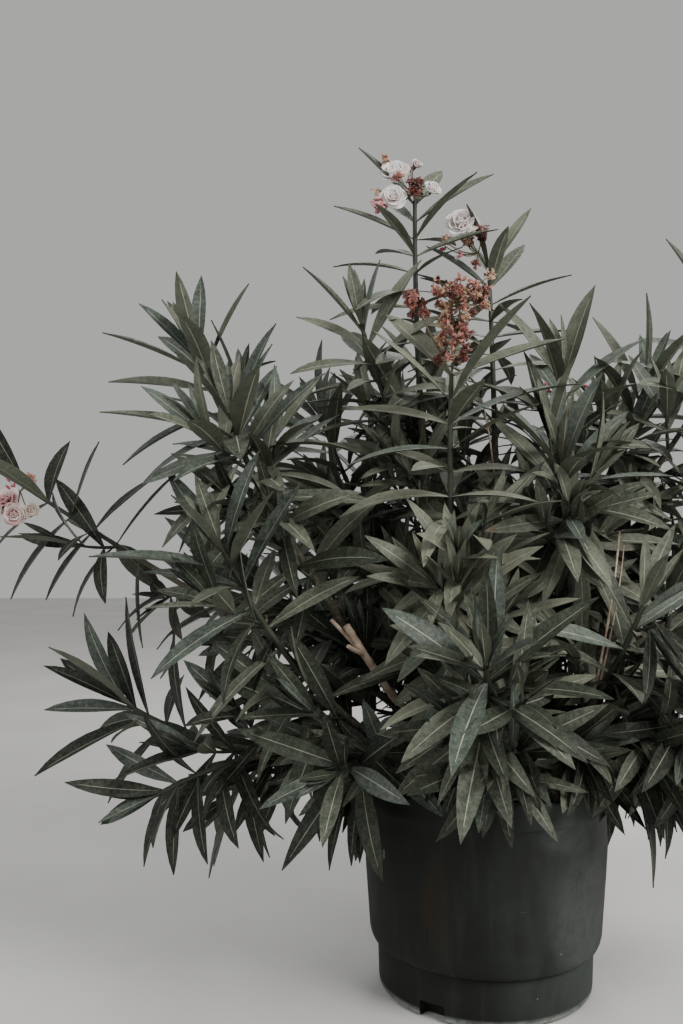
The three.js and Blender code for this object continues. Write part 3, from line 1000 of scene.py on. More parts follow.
# the other finishes in the order of their numbers: name, colour, roughness, dust, depth of the veins
otherFinishes = [
    ("leafRib", (0.400, 0.412, 0.320), 0.55, 0.2, 0.1),
    ("leafUnderside", (0.098, 0.110, 0.078), 0.66, 0.35, 0.12),
    ("leafDry", (0.150, 0.122, 0.084), 0.80, 0.2, 0.3),
    ("leafRibShade", (0.225, 0.238, 0.175), 0.58, 0.2, 0.1),
]
ribLook, undersideLook, dryLook, shadedRibLook = (len(leafTints) + i for i in range(len(otherFinishes)))
leafDust = {
    "filmPattern": (170, 5, 0.72),
    "filmStops": (0.43, 0.61),
    "filmStrength": 0.8,
    "filmColor": (0.30, 0.30, 0.25),
    "filmShare": 0.45,
    "speckPattern": (520, 2, 0.7),
    "speckStops": (0.60, 0.72),
    "speckColor": (0.36, 0.37, 0.31),
    "driftPattern": (30, 3),
    "driftStops": ((0.46, 0.1), (0.62, 1.0)),
}
leafPatches = {"pattern": (48, 4, 0.65), "shades": ((0.30, 0.60), (0.70, 1.14))}
leafVeins = {"lines": {"Scale": 13.0, "Distortion": 0.5}, "slant": -0.22, "depth": 0.0004}


def sideVeins(look):
    # fine veins that leave the rib at a slant on both sides, from the leaf's own map
    own = partsOf(look, addNode(look, "ShaderNodeUVMap", uv_map="ownMap").outputs["UV"])
    across = combine(look, "Math", (own["X"], 0.5), operation="SUBTRACT")
    away = combine(look, "Math", (across,), operation="ABSOLUTE")
    slant = combine(look, "Math", (away, leafVeins["slant"], own["Y"]), operation="MULTIPLY_ADD")
    along = combine(look, "CombineXYZ", (0.0, slant))
    veins = addNode(look, "ShaderNodeTexWave", bands_direction="Y", **leafVeins["lines"])
    feed(look, along, veins.inputs["Vector"])
    return veins.outputs["Fac"]


def mixOf(a, b, share):
    return tuple(x + (y - x) * share for x, y in zip(a, b))


def leafLook(name, color, roughness, dust, veins, gloss=bladeFinish["gloss"]):
    look = newMaterial(name, color, roughness, Specular_IOR_Level=gloss)
    place = objectPlace(look)
    shades = [(position, scaled(color, shade)) for position, shade in leafPatches["shades"]]
    tone = clouds(look, place, leafPatches["pattern"], shades)
    filmStops = list(zip(leafDust["filmStops"], (0, dust * leafDust["filmStrength"])))
    film = clouds(look, place, leafDust["filmPattern"], filmStops)
    tone = mixColor(look, film, tone, mixOf(color, leafDust["filmColor"], leafDust["filmShare"]))
    specks = clouds(look, place, leafDust["speckPattern"], list(zip(leafDust["speckStops"], (0, dust))))
    drift = clouds(look, place, leafDust["driftPattern"], leafDust["driftStops"])
    colorInto(look, mixColor(look, product(look, drift, specks), tone, leafDust["speckColor"]))
    bump(look, sideVeins(look), veins, leafVeins["depth"])
    return look


def leafLooks():
    looks = []
    for i, color in enumerate(leafTints):
        finish = shadeFinish if i < growth["shadeTints"] else bladeFinish
        looks.append(leafLook("leafTint%d" % i, color, **finish))
    return looks + [leafLook(*finish) for finish in otherFinishes]


def leafPiece(name, leaves):
    # every leaf has one tint; its rib, underside and dry tip have finishes of their own
    tints = np.array([grown["tint"] for grown in leaves])[:, None]
    dry = np.array([grown["dry"] for grown in leaves])[:, None]
    kinds = leaf["kinds"][None, :]
    starts = np.cumsum(leaf["totals"]) - leaf["totals"]
    along = np.array([leaf["coords"][s:s + n, 1].mean() for s, n in zip(starts, leaf["totals"])])[None, :]
    ribs = np.where(tints < growth["shadeTints"], shadedRibLook, ribLook)
    faceLooks = np.where(kinds == 0, tints, np.where(kinds == 1, ribs, undersideLook))
    faceLooks = np.where((along > growth["dryTip"]) & dry, dryLook, faceLooks)
    return joinedPiece(name, leaf, bentCopies(leaf, leaves), faceLooks)


allTwigs = []
looks = leafLooks()
for pieceName, names in crown.items():
    leaves = []
    for name in names:
        for grown, twigs in (growHead(name), growInside(name), growSkirt(name)):
            leaves += grown
            allTwigs += twigs
    piece = leafPiece(pieceName, leaves)
    finishPiece(piece, looks, ["foliage_" + name for name in names])
    print(pieceName, len(leaves), "leaves,", len(piece.data.polygons), "faces")


# Stems and twigs: tubes along their curves, swollen a little at each ring of leaf scars

tubeForm = {"step": 0.006, "scarLength": 0.28}  # a scar's length is a share of the gap between scars
# gap between leaf scars, and the share by which the tube swells there
barkScars = (0.042, 0.16)
shootScars = (0.028, 0.14)
twigScars = (0.02, 0.12)
twigRadii = (0.0030, 0.0018)
barkFinish = {
    "roughness": 0.8,
    "pattern": (22, 4),
    "tones": [(0.30, (0.036, 0.038, 0.022)), (0.52, (0.072, 0.066, 0.042)), (0.74, (0.125, 0.106, 0.078))],
    "flecks": ((300, 2), [(0.56, 0), (0.68, 0.7)]),
    "fleckColor": (0.23, 0.21, 0.17),
    "relief": (190, 5, 0.65),
    "bump": (0.6, 0.0012),
}
shootFinish = {
    "roughness": 0.6,
    "pattern": (45, 3),
    "tones": [(0.3, (0.016, 0.023, 0.013)), (0.7, (0.038, 0.045, 0.027))],
    "relief": (260, 3),
    "bump": (0.35, 0.0008),
}


def tubePiece(name, tubes, sides):
    # tubes: list of (places, radii); a curve with a round bevel, turned into a mesh
    data = bpy.data.curves.new(name, "CURVE")
    data.dimensions = "3D"
    data.bevel_depth = 1.0
    data.bevel_resolution = (sides - 4) // 2
    data.use_fill_caps = True
    for places, radii in tubes:
        spline = data.splines.new("POLY")
        spline.points.add(len(places) - 1)
        spline.points.foreach_set("co", np.c_[places, np.ones(len(places))].astype(np.float32).ravel())
        spline.points.foreach_set("radius", np.asarray(radii, np.float32))
    piece = bpy.data.objects.new(name, data)
    bpy.context.scene.collection.objects.link(piece)
    makeActive(piece)
    bpy.ops.object.convert(target="MESH")
    smoothFaces(bpy.context.object, degrees=60)
    return bpy.context.object


def stemTube(curve, radii, scars, start=0.0, end=None):
    # places and radii along a curve; the radii are those at its foot and tip
    end = lengthOf(curve) if end is None else end
    distances = np.linspace(start, end, max(3, int((end - start) / tubeForm["step"])))
    places = np.stack([placeOn(curve, d) for d in distances])
    sizes = radii[0] + (radii[1] - radii[0]) * distances / lengthOf(curve)
    gap, swell = scars
    nearScar = np.abs((distances / gap) % 1 - 0.5) * 2  # 1 at each scar
    past = (nearScar - (1 - tubeForm["scarLength"])) / tubeForm["scarLength"]
    return places, sizes * (1 + swell * np.clip(past, 0, 1))


def makeStems():
    tubes, tips = [], []
    for name, stem in stems.items():
        curve = curves[name]
        top = lengthOf(curve) - stem["leafy"] + stemRules["intoLeaves"]
        radii = (stemRules["branchRadius" if "on" in stem else "footRadius"], stemRules["tipRadius"])
        tubes.append(stemTube(curve, radii, barkScars, end=top))
        tips.append(stemTube(curve, radii, shootScars, start=top))
    tips += [stemTube(twig, twigRadii, twigScars) for twig in allTwigs]
    stemsPiece = tubePiece("stems", tubes, sides=10)
    finishPiece(stemsPiece, [mottledLook("stemBark", barkFinish)], ["stem_" + name for name in stems])
    twigsPiece = tubePiece("twigs", tips, sides=6)
    finishPiece(twigsPiece, [mottledLook("greenShoot", shootFinish)])
    print("stems", len(stemsPiece.data.polygons), "faces; twigs", len(twigsPiece.data.polygons), "faces")


makeStems()


# Flowers: one petal, one crinkled petal and one bud modelled once, then bent into place

petalForm = {
    "columns": 4,
    "widths": (0.24, 0.58, 0.88, 1.0, 0.92, 0.52),  # foot to top, as shares of the full width
    "driedColumns": 2,
    "driedWidths": (0.3, 0.9, 1.0, 0.4),
    "roundTop": 0.07,
    "roundWithin": 0.3,  # the share of the top row that it lifts
    "thickness": 0.0006,
    "veer": 5,
    "rippleSpread": (0.5, 1.5),
}
budForm = {
    "segments": 6,
    "rings": 5,
    "bands": ((0.8, 0.99, 0.9, 0.62), (0.01, 0.2, 0.1, 0.8)),  # from, to, middle and width
}


def modelPetal(name, columns, widths):
    rows = len(widths) - 1
    deselectAll()
    bpy.ops.mesh.primitive_grid_add(x_subdivisions=columns, y_subdivisions=rows, size=1, location=(0, 0.5, 0))
    petal = startPiece(name)
    for i, width in enumerate(widths):
        resizeRow(petal, i / rows, width)
    within = widths[-1] * petalForm["roundWithin"]
    selectWhere(petal, "VERT", lambda point: point.co.y > 0.99 and abs(point.co.x) < within)
    bpy.ops.transform.translate(value=(0, petalForm["roundTop"], 0))
    bpy.ops.object.mode_set(mode="OBJECT")
    applyModifier(petal, "SOLIDIFY", thickness=petalForm["thickness"], offset=0)
    return petal


def modelBud():
    # a small ball drawn out to a point
    deselectAll()
    bpy.ops.mesh.primitive_uv_sphere_add(
        segments=budForm["segments"], ring_count=budForm["rings"], radius=0.5, location=(0, 0.5, 0),
        rotation=(math.radians(90), 0, 0)
    )
    bud = startPiece("budShape")
    for low, high, middle, size in budForm["bands"]:
        resizePoints(bud, lambda p: low < p.y < high, (size, 1, size), (0, middle, 0))
    bpy.ops.object.mode_set(mode="OBJECT")
    return bud


def plainMap(place):
    return 0.5 + place[0], place[1]


petal = shapeArrays(modelPetal("petalShape", petalForm["columns"], petalForm["widths"]), plainMap)
dried = shapeArrays(modelPetal("driedShape", petalForm["driedColumns"], petalForm["driedWidths"]), plainMap)
bud = shapeArrays(modelBud(), plainMap, rounded=True)

bloomForm = {
    # petals in the ring, degrees open, length as a share of the radius, bend outward in degrees
    "rings": (
        (6, 82, 1.06, 16), (6, 64, 0.98, 2), (5, 47, 0.84, -16), (5, 32, 0.70, -30), (4, 19, 0.58, -40),
        (3, 7, 0.46, -50),
    ),
    "depth": 0.42,  # how far the petals' feet lie behind the bloom's middle, as a share of the radius
    "cupBend": 60,  # how much further inward the petals of a closed bloom bend, in degrees
    "bearingSpread": 7,
    "openSpread": 5,
    "bendSpread": 6,
    "length": (0.90, 1.10),
    "width": (1.15, 1.4),
    "fold": (8, 18),
    "ripple": 0.05,
    "twist": 6,
}
calyxForm = {"length": 0.008, "width": 0.0045, "into": 0.8, "longer": 1.4}
budSize = {"length": (0.008, 0.013), "width": (0.0045, 0.0065), "aside": 0.02, "plain": 0.7}
witheredForm = {
    "bits": 15,
    "length": (0.0050, 0.0100),
    "slim": (0.5, 0.95),
    "bend": (-110, 120),
    "fold": (25, 70),
    "ripple": 0.5,
    "twist": 40,
    "droop": -0.2,
    "spread": 0.0018,
    "plain": 0.7,  # share of the petals that have the flower's main tint
}
# stalks: radius at the foot, and sag as a share of the length; stems go this far into the head's stalk
stalkForm = {"bloom": (0.0011, 0.12), "head": (0.0018, 0.0), "bud": (0.0007, 0.0), "truss": (0.0016, 0.0),
             "withered": (0.0008, 0.1), "thinner": 0.75, "steps": 8, "headFoot": 0.006, "trussFoot": 0.004}
scatterForm = {"out": (0.3, 1.0), "crowding": 0.5}
# the petals' plain colours, then the dried ones from dark to pale
petalTints = {
    "white": (0.96, 0.94, 0.935),
    "blush": (0.86, 0.74, 0.70),
    "cream": (0.70, 0.58, 0.48),
    "pink": (0.62, 0.33, 0.35),
    "rose": (0.42, 0.12, 0.14),
}
driedTints = {
    "maroon": (0.085, 0.026, 0.022),
    "brown": (0.140, 0.066, 0.042),
    "red": (0.255, 0.082, 0.064),
    "coral": (0.46, 0.215, 0.165),
    "tan": (0.52, 0.345, 0.210),
}
# Flower heads. stem: the shoot that bears it; knot: where its stalks part;
# blooms: place, the way it faces, radius, tints and how far open; withered: place, spread, how many, tints;
# buds: place, how many, spread, tint.
flowerHeads = [
    {
        "stem": "tall",
        "knot": (-0.101, 0.079, 1.206),
        "blooms": [
            ((-0.133, 0.078, 1.240), (-0.20, -0.80, 0.58), 0.0245,
             ("white", "white", "white", "blush"), 0.80),
            ((-0.134, 0.060, 1.197), (-0.16, -0.95, 0.14), 0.0188, ("blush", "blush", "white"), 0.92),
            ((-0.072, 0.070, 1.211), (0.35, -0.70, 0.55), 0.0165, ("white", "white", "blush"), 0.70),
            ((-0.096, 0.082, 1.252), (0.55, -0.40, 0.72), 0.0115, ("white", "white", "pink"), 0.55),
        ],
        "withered": [
            ((-0.099, 0.066, 1.213), 0.013, 8, ("maroon", "maroon", "brown", "red")),
            ((-0.124, 0.056, 1.226), 0.006, 2, ("coral", "red")),
            ((-0.158, 0.078, 1.212), 0.004, 1, ("tan", "red")),
            ((-0.142, 0.086, 1.264), 0.005, 2, ("coral", "tan")),
            ((-0.106, 0.078, 1.246), 0.003, 1, ("red", "maroon")),
        ],
        "buds": [((-0.151, 0.062, 1.184), 24, 0.012, "pink")],
    },
    {
        "stem": "upper_right",
        "knot": (0.006, 0.118, 1.122),
        "blooms": [
            ((-0.023, 0.102, 1.168), (-0.10, -0.86, 0.50), 0.0262,
             ("white", "white", "white", "blush"), 0.88),
        ],
        "withered": [
            ((-0.047, 0.104, 1.136), 0.006, 2, ("coral", "coral", "tan")),
            ((-0.018, 0.094, 1.134), 0.005, 1, ("coral", "tan")),
            ((0.010, 0.100, 1.150), 0.010, 5, ("maroon", "red", "brown", "maroon")),
            ((-0.006, 0.100, 1.138), 0.007, 3, ("maroon", "brown")),
            ((0.003, 0.110, 1.106), 0.005, 1, ("maroon", "red")),
        ],
        "buds": [((-0.027, 0.096, 1.116), 5, 0.005, "blush"), ((-0.049, 0.100, 1.128), 4, 0.006, "blush")],
    },
    {
        "stem": "far_left",
        "knot": (-0.716, 0.058, 0.736),
        "blooms": [
            ((-0.738, 0.052, 0.722), (-0.30, -0.80, 0.35), 0.0200, ("pink", "blush", "pink"), 0.9),
            ((-0.722, 0.046, 0.700), (0.15, -0.90, -0.25), 0.0170, ("blush", "pink"), 0.9),
            ((-0.698, 0.050, 0.705), (0.50, -0.80, -0.15), 0.0130, ("cream", "blush"), 0.7),
            ((-0.756, 0.060, 0.704), (-0.70, -0.50, -0.10), 0.0180, ("pink", "pink", "blush"), 0.9),
            ((-0.748, 0.088, 0.724), (-0.50, 0.60, 0.45), 0.0160, ("pink", "blush"), 0.8),
        ],
        "withered": [
            ((-0.700, 0.050, 0.752), 0.006, 2, ("coral", "tan")),
            ((-0.728, 0.050, 0.712), 0.006, 2, ("red", "coral")),
        ],
        "buds": [((-0.730, 0.060, 0.744), 3, 0.008, "rose")],
    },
    {
        "stem": "right",
        "knot": (0.118, 0.018, 0.884),
        "blooms": [],
        "withered": [((0.094, 0.004, 0.887), 0.003, 1, ("maroon", "red"))],
        "buds": [((0.093, 0.000, 0.891), 4, 0.007, "rose"), ((0.146, 0.004, 0.893), 2, 0.005, "rose")],
    },
]
# Old trusses on one stem, all withered. to: top of the truss's stalk; share: its flowers stand from
# here up; width: how wide it is
oldTrusses = [
    {"to": (-0.058, -0.104, 0.982), "share": 0.22, "width": 0.050, "flowers": 34,
     "tints": ("red", "coral", "maroon", "coral", "tan")},
    {"to": (-0.044, -0.098, 1.018), "share": 0.80, "width": 0.080, "flowers": 40,
     "tints": ("coral", "tan", "coral", "red", "maroon", "tan")},
    {"to": (-0.119, -0.098, 1.014), "share": 0.72, "width": 0.022, "flowers": 14,
     "tints": ("red", "coral", "red", "maroon")},
]
trussForm = {
    "stem": "centre", "turn": 2.4, "aside": 0.5, "reach": (0.25, 1.0), "crowding": 0.6, "rise": (-0.1, 0.5),
}


def addPart(parts, root, along, up, size, bends, tint, rng, ripple=0.0, twist=bloomForm["twist"]):
    # a petal, a bud or a scrap; size: length and width; bends: arch and fold in degrees
    parts.append({
        "root": root, "along": along, "up": up, "length": size[0], "width": size[1],
        "arch": math.radians(bends[0]), "veer": math.radians(rng.normal(0, petalForm["veer"])),
        "twist": math.radians(rng.normal(0, twist)), "fold": math.radians(bends[1]),
        "ripple": ripple * rng.uniform(*petalForm["rippleSpread"]), "phase": rng.uniform(0, fullTurn),
        "tint": tint,
    })


def addBloom(petals, place, facing, radius, tints, cup, rng):
    # cup: 1 wide open, less for a bloom whose petals still stand up
    axis = unit(np.array(facing, float))
    root = np.array(place) - axis * radius * bloomForm["depth"]
    for count, opened, share, bend in bloomForm["rings"]:
        inward = bend - (1 - cup) * bloomForm["cupBend"]
        first = rng.uniform(0, 360)
        for k in range(count):
            bearing = math.radians(first + 360 / count * k + rng.normal(0, bloomForm["bearingSpread"]))
            angle = math.radians(opened * cup + rng.normal(0, bloomForm["openSpread"]))
            outward = outwardOf(axis, bearing)
            along = tilted(axis, outward, angle)
            up = axis * math.sin(angle) - outward * math.cos(angle)
            length = radius * share * rng.uniform(*bloomForm["length"])
            size = (length, length * rng.uniform(*bloomForm["width"]))
            bends = (inward + rng.normal(0, bloomForm["bendSpread"]), rng.uniform(*bloomForm["fold"]))
            tint = rng.choice(tints)
            addPart(petals, root, along, up, size, bends, tint, rng, bloomForm["ripple"])
    return root


def addWithered(bits, place, tints, rng):
    # one shrivelled flower: a few crinkled petals about one point, mostly of one tint
    w = witheredForm
    main = rng.choice(tints)
    for _ in range(w["bits"]):
        along = unit(rng.normal(0, 1, 3) + np.array([0, 0, w["droop"]]))
        up = unit(np.cross(along, rng.normal(0, 1, 3)))
        length = rng.uniform(*w["length"])
        root = np.array(place) + rng.normal(0, w["spread"], 3)
        size = (length, length * rng.uniform(*w["slim"]))
        bends = (rng.uniform(*w["bend"]), rng.uniform(*w["fold"]))
        tint = main if rng.random() < w["plain"] else rng.choice(tints)
        addPart(bits, root, along, up, size, bends, tint, rng, w["ripple"], w["twist"])


def stalkTo(stalks, root, place, kind="bloom"):
    radius, sag = stalkForm[kind]
    root, place = np.array(root, float), np.array(place, float)
    steps = stalkForm["steps"]
    curve = bowedCurve(root, place, np.array([0, 0, -sag * np.linalg.norm(place - root)]), steps)
    stalks.append((curve["places"], np.linspace(radius, radius * stalkForm["thinner"], steps + 1)))
    return curve


def scatter(place, spread, rng):
    s = scatterForm
    return np.array(place) + unit(rng.normal(0, 1, 3)) * spread * rng.uniform(*s["out"]) ** s["crowding"]


def growHeads(petals, bits, buds, stalks, rng):
    for head in flowerHeads:
        curve, knot = curves[head["stem"]], head["knot"]
        stalkTo(stalks, placeOn(curve, lengthOf(curve) - stalkForm["headFoot"]), knot, "head")
        for place, facing, radius, tints, cup in head["blooms"]:
            foot = addBloom(petals, place, facing, radius, tints, cup, rng)
            axis = unit(np.array(facing, float))
            calyx = foot - axis * calyxForm["length"] * calyxForm["into"]
            stalkTo(stalks, knot, calyx)
            size = (calyxForm["length"] * calyxForm["longer"], calyxForm["width"])
            addPart(buds, calyx, axis, acrossOf(axis)[0], size, (0, 0), "maroon", rng)
        for place, spread, count, tints in head["withered"]:
            stalkTo(stalks, knot, place)
            for _ in range(count):
                addWithered(bits, scatter(place, spread, rng), tints, rng)
        for place, count, spread, tint in head["buds"]:
            stalkTo(stalks, knot, place)
            for _ in range(count):
                along = unit(np.array(place) - knot + rng.normal(0, budSize["aside"], 3))
                root = scatter(place, spread, rng)
                stalkTo(stalks, place, root, "bud")
                size = (rng.uniform(*budSize["length"]), rng.uniform(*budSize["width"]))
                budTint = tint if rng.random() < budSize["plain"] else "rose"
                addPart(buds, root, along, acrossOf(along)[0], size, (0, 0), budTint, rng)


def growTrusses(bits, stalks, rng):
    t = trussForm
    curve = curves[t["stem"]]
    for truss in oldTrusses:
        foot = placeOn(curve, lengthOf(curve) - stalkForm["trussFoot"])
        stalk = stalkTo(stalks, foot, truss["to"], "truss")
        for i in range(truss["flowers"]):
            share = truss["share"] + (1 - truss["share"]) * (i + 0.5) / truss["flowers"]
            root = placeOn(stalk, share * lengthOf(stalk))
            bearing = i * t["turn"] + rng.uniform(-t["aside"], t["aside"])
            reach = truss["width"] / 2 * rng.uniform(*t["reach"]) ** t["crowding"]
            place = root + around(bearing, reach, rng.uniform(*t["rise"]) * reach)
            stalkTo(stalks, root, place, "withered")
            addWithered(bits, place, truss["tints"], rng)


# light goes a little way through a petal, so its folds stay bright
petalFinish = {
    "roughness": 0.62,
    "shades": ((0.30, 0.92), (0.70, 1.04)),
    "pattern": (160, 3),
    "lines": {"Scale": 9.0, "Distortion": 2.0},
    "bump": (0.2, 0.0003),
    "light": {"Subsurface_Weight": 0.35, "Subsurface_Scale": 0.004, "Subsurface_Radius": (1, 1, 1)},
    "gloss": 0.3,
}
stalkFinish = {
    "roughness": 0.6,
    "pattern": (60, 3),
    "tones": [(0.3, (0.070, 0.090, 0.045)), (0.7, (0.170, 0.130, 0.080))],
    "relief": (300, 3),
    "bump": (0.3, 0.0005),
}


def petalLook(name, color):
    f = petalFinish
    look = newMaterial(name, color, f["roughness"], Specular_IOR_Level=f["gloss"], **f["light"])
    shades = [(position, scaled(color, shade)) for position, shade in f["shades"]]
    colorInto(look, clouds(look, objectPlace(look), f["pattern"], shades))
    own = addNode(look, "ShaderNodeUVMap", uv_map="ownMap")
    lines = addNode(look, "ShaderNodeTexWave", bands_direction="X", **f["lines"])
    feed(look, own.outputs["UV"], lines.inputs["Vector"])
    bump(look, lines.outputs["Fac"], *f["bump"])
    return look


def bentPiece(name, shape, parts, tints):
    # copies of a shape as one piece, each with one plain tint
    names = list(tints)
    chosen = np.array([names.index(part["tint"]) for part in parts])
    faceLooks = np.repeat(chosen[:, None], len(shape["totals"]), axis=1)
    piece = joinedPiece(name, shape, bentCopies(shape, parts), faceLooks)
    finishPiece(piece, [petalLook(name + tint.capitalize(), tints[tint]) for tint in names])


def makeFlowers():
    rng = np.random.default_rng(seeds["flowers"])
    petals, bits, buds, stalks = [], [], [], []
    growHeads(petals, bits, buds, stalks, rng)
    growTrusses(bits, stalks, rng)
    bentPiece("bloomPetals", petal, petals, petalTints)
    bentPiece("driedBlossom", dried, bits, driedTints)
    bentPiece("flowerBuds", bud, buds, {**petalTints, **driedTints})
    stalksPiece = tubePiece("flowerStalks", stalks, sides=6)
    finishPiece(stalksPiece, [mottledLook("greenStalk", stalkFinish)])
    print("petals", len(petals), "withered bits", len(bits), "buds", len(buds), "stalks", len(stalks))


makeFlowers()


# Pot

potForm = {
    "sides": 144,
    "height": 0.313,
    "rimRadius": 0.188,
    "rimEdge": 0.004,
    "innerEdge": 0.003,
    "bandHeight": 0.036,
    "wallTop": 0.184,
    "wallMiddle": 0.178,
    "wallFoot": 0.172,
    "wallSteps": 7,
    "groove": 0.068,
    "footSlope": (0.0004, 0.012),  # how far out and how high above the rounded corner
    "bandStep": (0.0004, 0.001),  # the little step where the wall meets the band
    "turnIn": 0.018,
    "footRadius": 0.160,
    "footTaper": 0.002,
    "footCorner": 0.008,
    "wall": 0.005,
    "floor": 0.026,
    "floorTaper": 0.001,
    # points of the profile as how far in and how far up: the foot's top edge and the wall's foot, which
    # curls in over it, both from the groove, and the face of the band under the rim, from its lower edge
    "footEdge": ((0.0, -0.004), (0.0012, -0.0015), (0.0015, 0.0)),
    "curl": ((0.008, 0.0015), (0.0042, 0.005), (0.0016, 0.011)),
    "band": ((0.0008, 0.0008), (0.0, 0.003), (0.0006, 0.014), (0.0002, 0.026)),
}
notchForm = {
    "count": 3,
    "width": 0.040,
    "height": 0.024,
    "depth": 0.024,
    "first": 235,  # bearing in degrees
    "edge": 0.004,
    "inner": 0.155,  # faces nearer to the middle than this, and this high, take the second finish, a painted shade
    "floor": 0.0005,
    "shadeTop": 0.025,
}


def potProfile():
    p = potForm
    bandFoot = p["height"] - p["bandHeight"]
    middle = (p["groove"] + bandFoot) / 2
    footTop = p["footRadius"] - p["footTaper"]
    curlTop = p["groove"] + p["turnIn"]
    wallTop = (p["wallTop"], bandFoot - p["bandStep"][1])
    outside = [(footTop - p["footCorner"], 0.0)]
    outside += arcPoints((footTop - p["footCorner"], p["footCorner"]), p["footCorner"], -75, 0, 5)
    outside += [(footTop + p["footSlope"][0], p["footSlope"][1])]
    outside += [(p["footRadius"] - inward, p["groove"] + up) for inward, up in p["footEdge"]]
    outside += [(p["wallFoot"] - inward, p["groove"] + up) for inward, up in p["curl"]]
    outside += slopePoints((p["wallFoot"], curlTop), (p["wallMiddle"], middle), p["wallSteps"])[:-1]
    outside += slopePoints((p["wallMiddle"], middle), wallTop, p["wallSteps"])
    outside += [(p["wallTop"] + p["bandStep"][0], bandFoot)]
    outside += [(p["rimRadius"] - inward, bandFoot + up) for inward, up in p["band"]]
    outside += arcPoints((p["rimRadius"] - p["rimEdge"], p["height"] - p["rimEdge"]), p["rimEdge"], 0, 90, 5)
    mouth = p["wallTop"] - p["wall"]
    inside = arcPoints((mouth + p["innerEdge"], p["height"] - p["innerEdge"]), p["innerEdge"], 90, 180, 4)
    inside += [(mouth, bandFoot), (p["wallMiddle"] - p["wall"], middle), (p["wallFoot"] - p["wall"], curlTop)]
    inside += [(footTop - p["wall"], p["groove"]), (footTop - p["wall"] - p["floorTaper"], p["floor"])]
    return outside + inside


def cutNotches(pot):
    # drain notches round the foot, each a rounded block taken out
    for i in range(notchForm["count"]):
        bearing = math.radians(notchForm["first"] + 360 / notchForm["count"] * i)
        deselectAll()
        bpy.ops.mesh.primitive_cube_add(
            size=1, scale=(notchForm["depth"] * 2, notchForm["width"], notchForm["height"] * 2),
            location=tuple(around(bearing, potForm["footRadius"], 0)), rotation=(0, 0, bearing)
        )
        cutter = startPiece("notchCutter")
        applyModifier(cutter, "BEVEL", width=notchForm["edge"], segments=3)
        cutAway(pot, cutter)


# Marks on the wall: place, size, colour and strength; the crease's dark line is painted shade and the pale
# streak a painted reflection
potMarks = {
    # painted shade: a near-black line along the cut crease
    "creaseShade": ((-0.098, -0.146, 0.130), (0.0016, 0.030, 0.026), (0.003, 0.003, 0.002), 0.9),
    "rustBand": ((-0.088, -0.150, 0.170), (0.020, 0.050, 0.085), (0.026, 0.018, 0.010), 0.6),
    "smudgeWide": ((-0.134, -0.120, 0.215), (0.020, 0.050, 0.060), (0.007, 0.007, 0.005), 0.65),
    "smudgeLong": ((-0.116, -0.132, 0.170), (0.007, 0.040, 0.080), (0.008, 0.008, 0.006), 0.6),
    # a darker band across the front, at the groove where the wall curls in over the foot
    "darkBandAtFootGroove": ((-0.070, -0.140, 0.060), (0.050, 0.050, 0.016), (0.008, 0.008, 0.006), 0.5),
    # painted reflection: a pale upright streak at the left edge
    "paleStreak": ((-0.173, -0.058, 0.175), (0.013, 0.030, 0.095), (0.030, 0.034, 0.028), 0.6),
    "drip": ((-0.155, -0.092, 0.218), (0.0018, 0.020, 0.009), (0.260, 0.260, 0.235), 0.8),
    "scratch": ((0.029, -0.175, 0.167), (0.0065, 0.030, 0.0010), (0.100, 0.108, 0.098), 0.3),
    "chip": ((0.084, -0.150, 0.101), (0.0012, 0.020, 0.0014), (0.300, 0.300, 0.280), 0.8),
    "footSpeck": ((0.052, -0.152, 0.040), (0.0011, 0.020, 0.0013), (0.300, 0.300, 0.280), 0.7),
    "dustPatch": ((0.120, -0.120, 0.150), (0.070, 0.090, 0.100), (0.088, 0.100, 0.092), 0.45),
    "dustTop": ((0.100, -0.140, 0.262), (0.070, 0.060, 0.030), (0.080, 0.090, 0.083), 0.4),
}
potFinish = {
    "color": (0.020, 0.023, 0.020),
    "gloss": 0.16,
    "cloudy": (9, 5, 0.6),
    "tones": [
        (0.32, (0.0082, 0.0096, 0.0076)), (0.55, (0.0128, 0.0150, 0.0124)),
        (0.75, (0.024, 0.0285, 0.0245)),
    ],
    "roughness": [(0.3, 0.50), (0.7, 0.74)],
    "dustAndLightFrom": -0.02,  # dust and painted light lie on the side that faces right, from here to there across the pot
    "dustAndLightTo": 0.15,
    "dust": 0.85,
    "dustAndLightBreak": ((7, 7, 0.72), [(0.30, 0.35), (0.62, 1.0)]),
    "dustAndLightColor": (0.060, 0.071, 0.065),
    "ragged": ((60, 6, 0.7), [(0.34, 0.25), (0.60, 1.0)]),
    "relief": (420, 4, 0.6),
    "bump": (0.22, 0.0006),
    "wearAndHighlightTop": 0.013,  # the worn edge of the foot, paler as wear and as a painted highlight
    "wearAndHighlightFull": 0.004,
    "wearAndHighlight": 0.95,
    "wearAndHighlightColor": (0.330, 0.350, 0.325),
}
# upright runs and wider grime: how much the pattern is drawn out, pattern, stops and colour
potRuns = (
    (0.07, (55, 4), [(0.52, 0), (0.70, 0.30)], (0.032, 0.037, 0.030)),
    (0.25, (16, 5), [(0.55, 0), (0.72, 0.5)], (0.009, 0.009, 0.007)),
)
# painted shade inside the drain notches: a near-black finish
notchShadeFinish = {
    "roughness": 0.9,
    "pattern": (90, 4),
    "tones": [(0.3, (0.002, 0.002, 0.0015)), (0.7, (0.008, 0.008, 0.006))],
    "relief": (200, 3),
    "bump": (0.3, 0.0008),
}


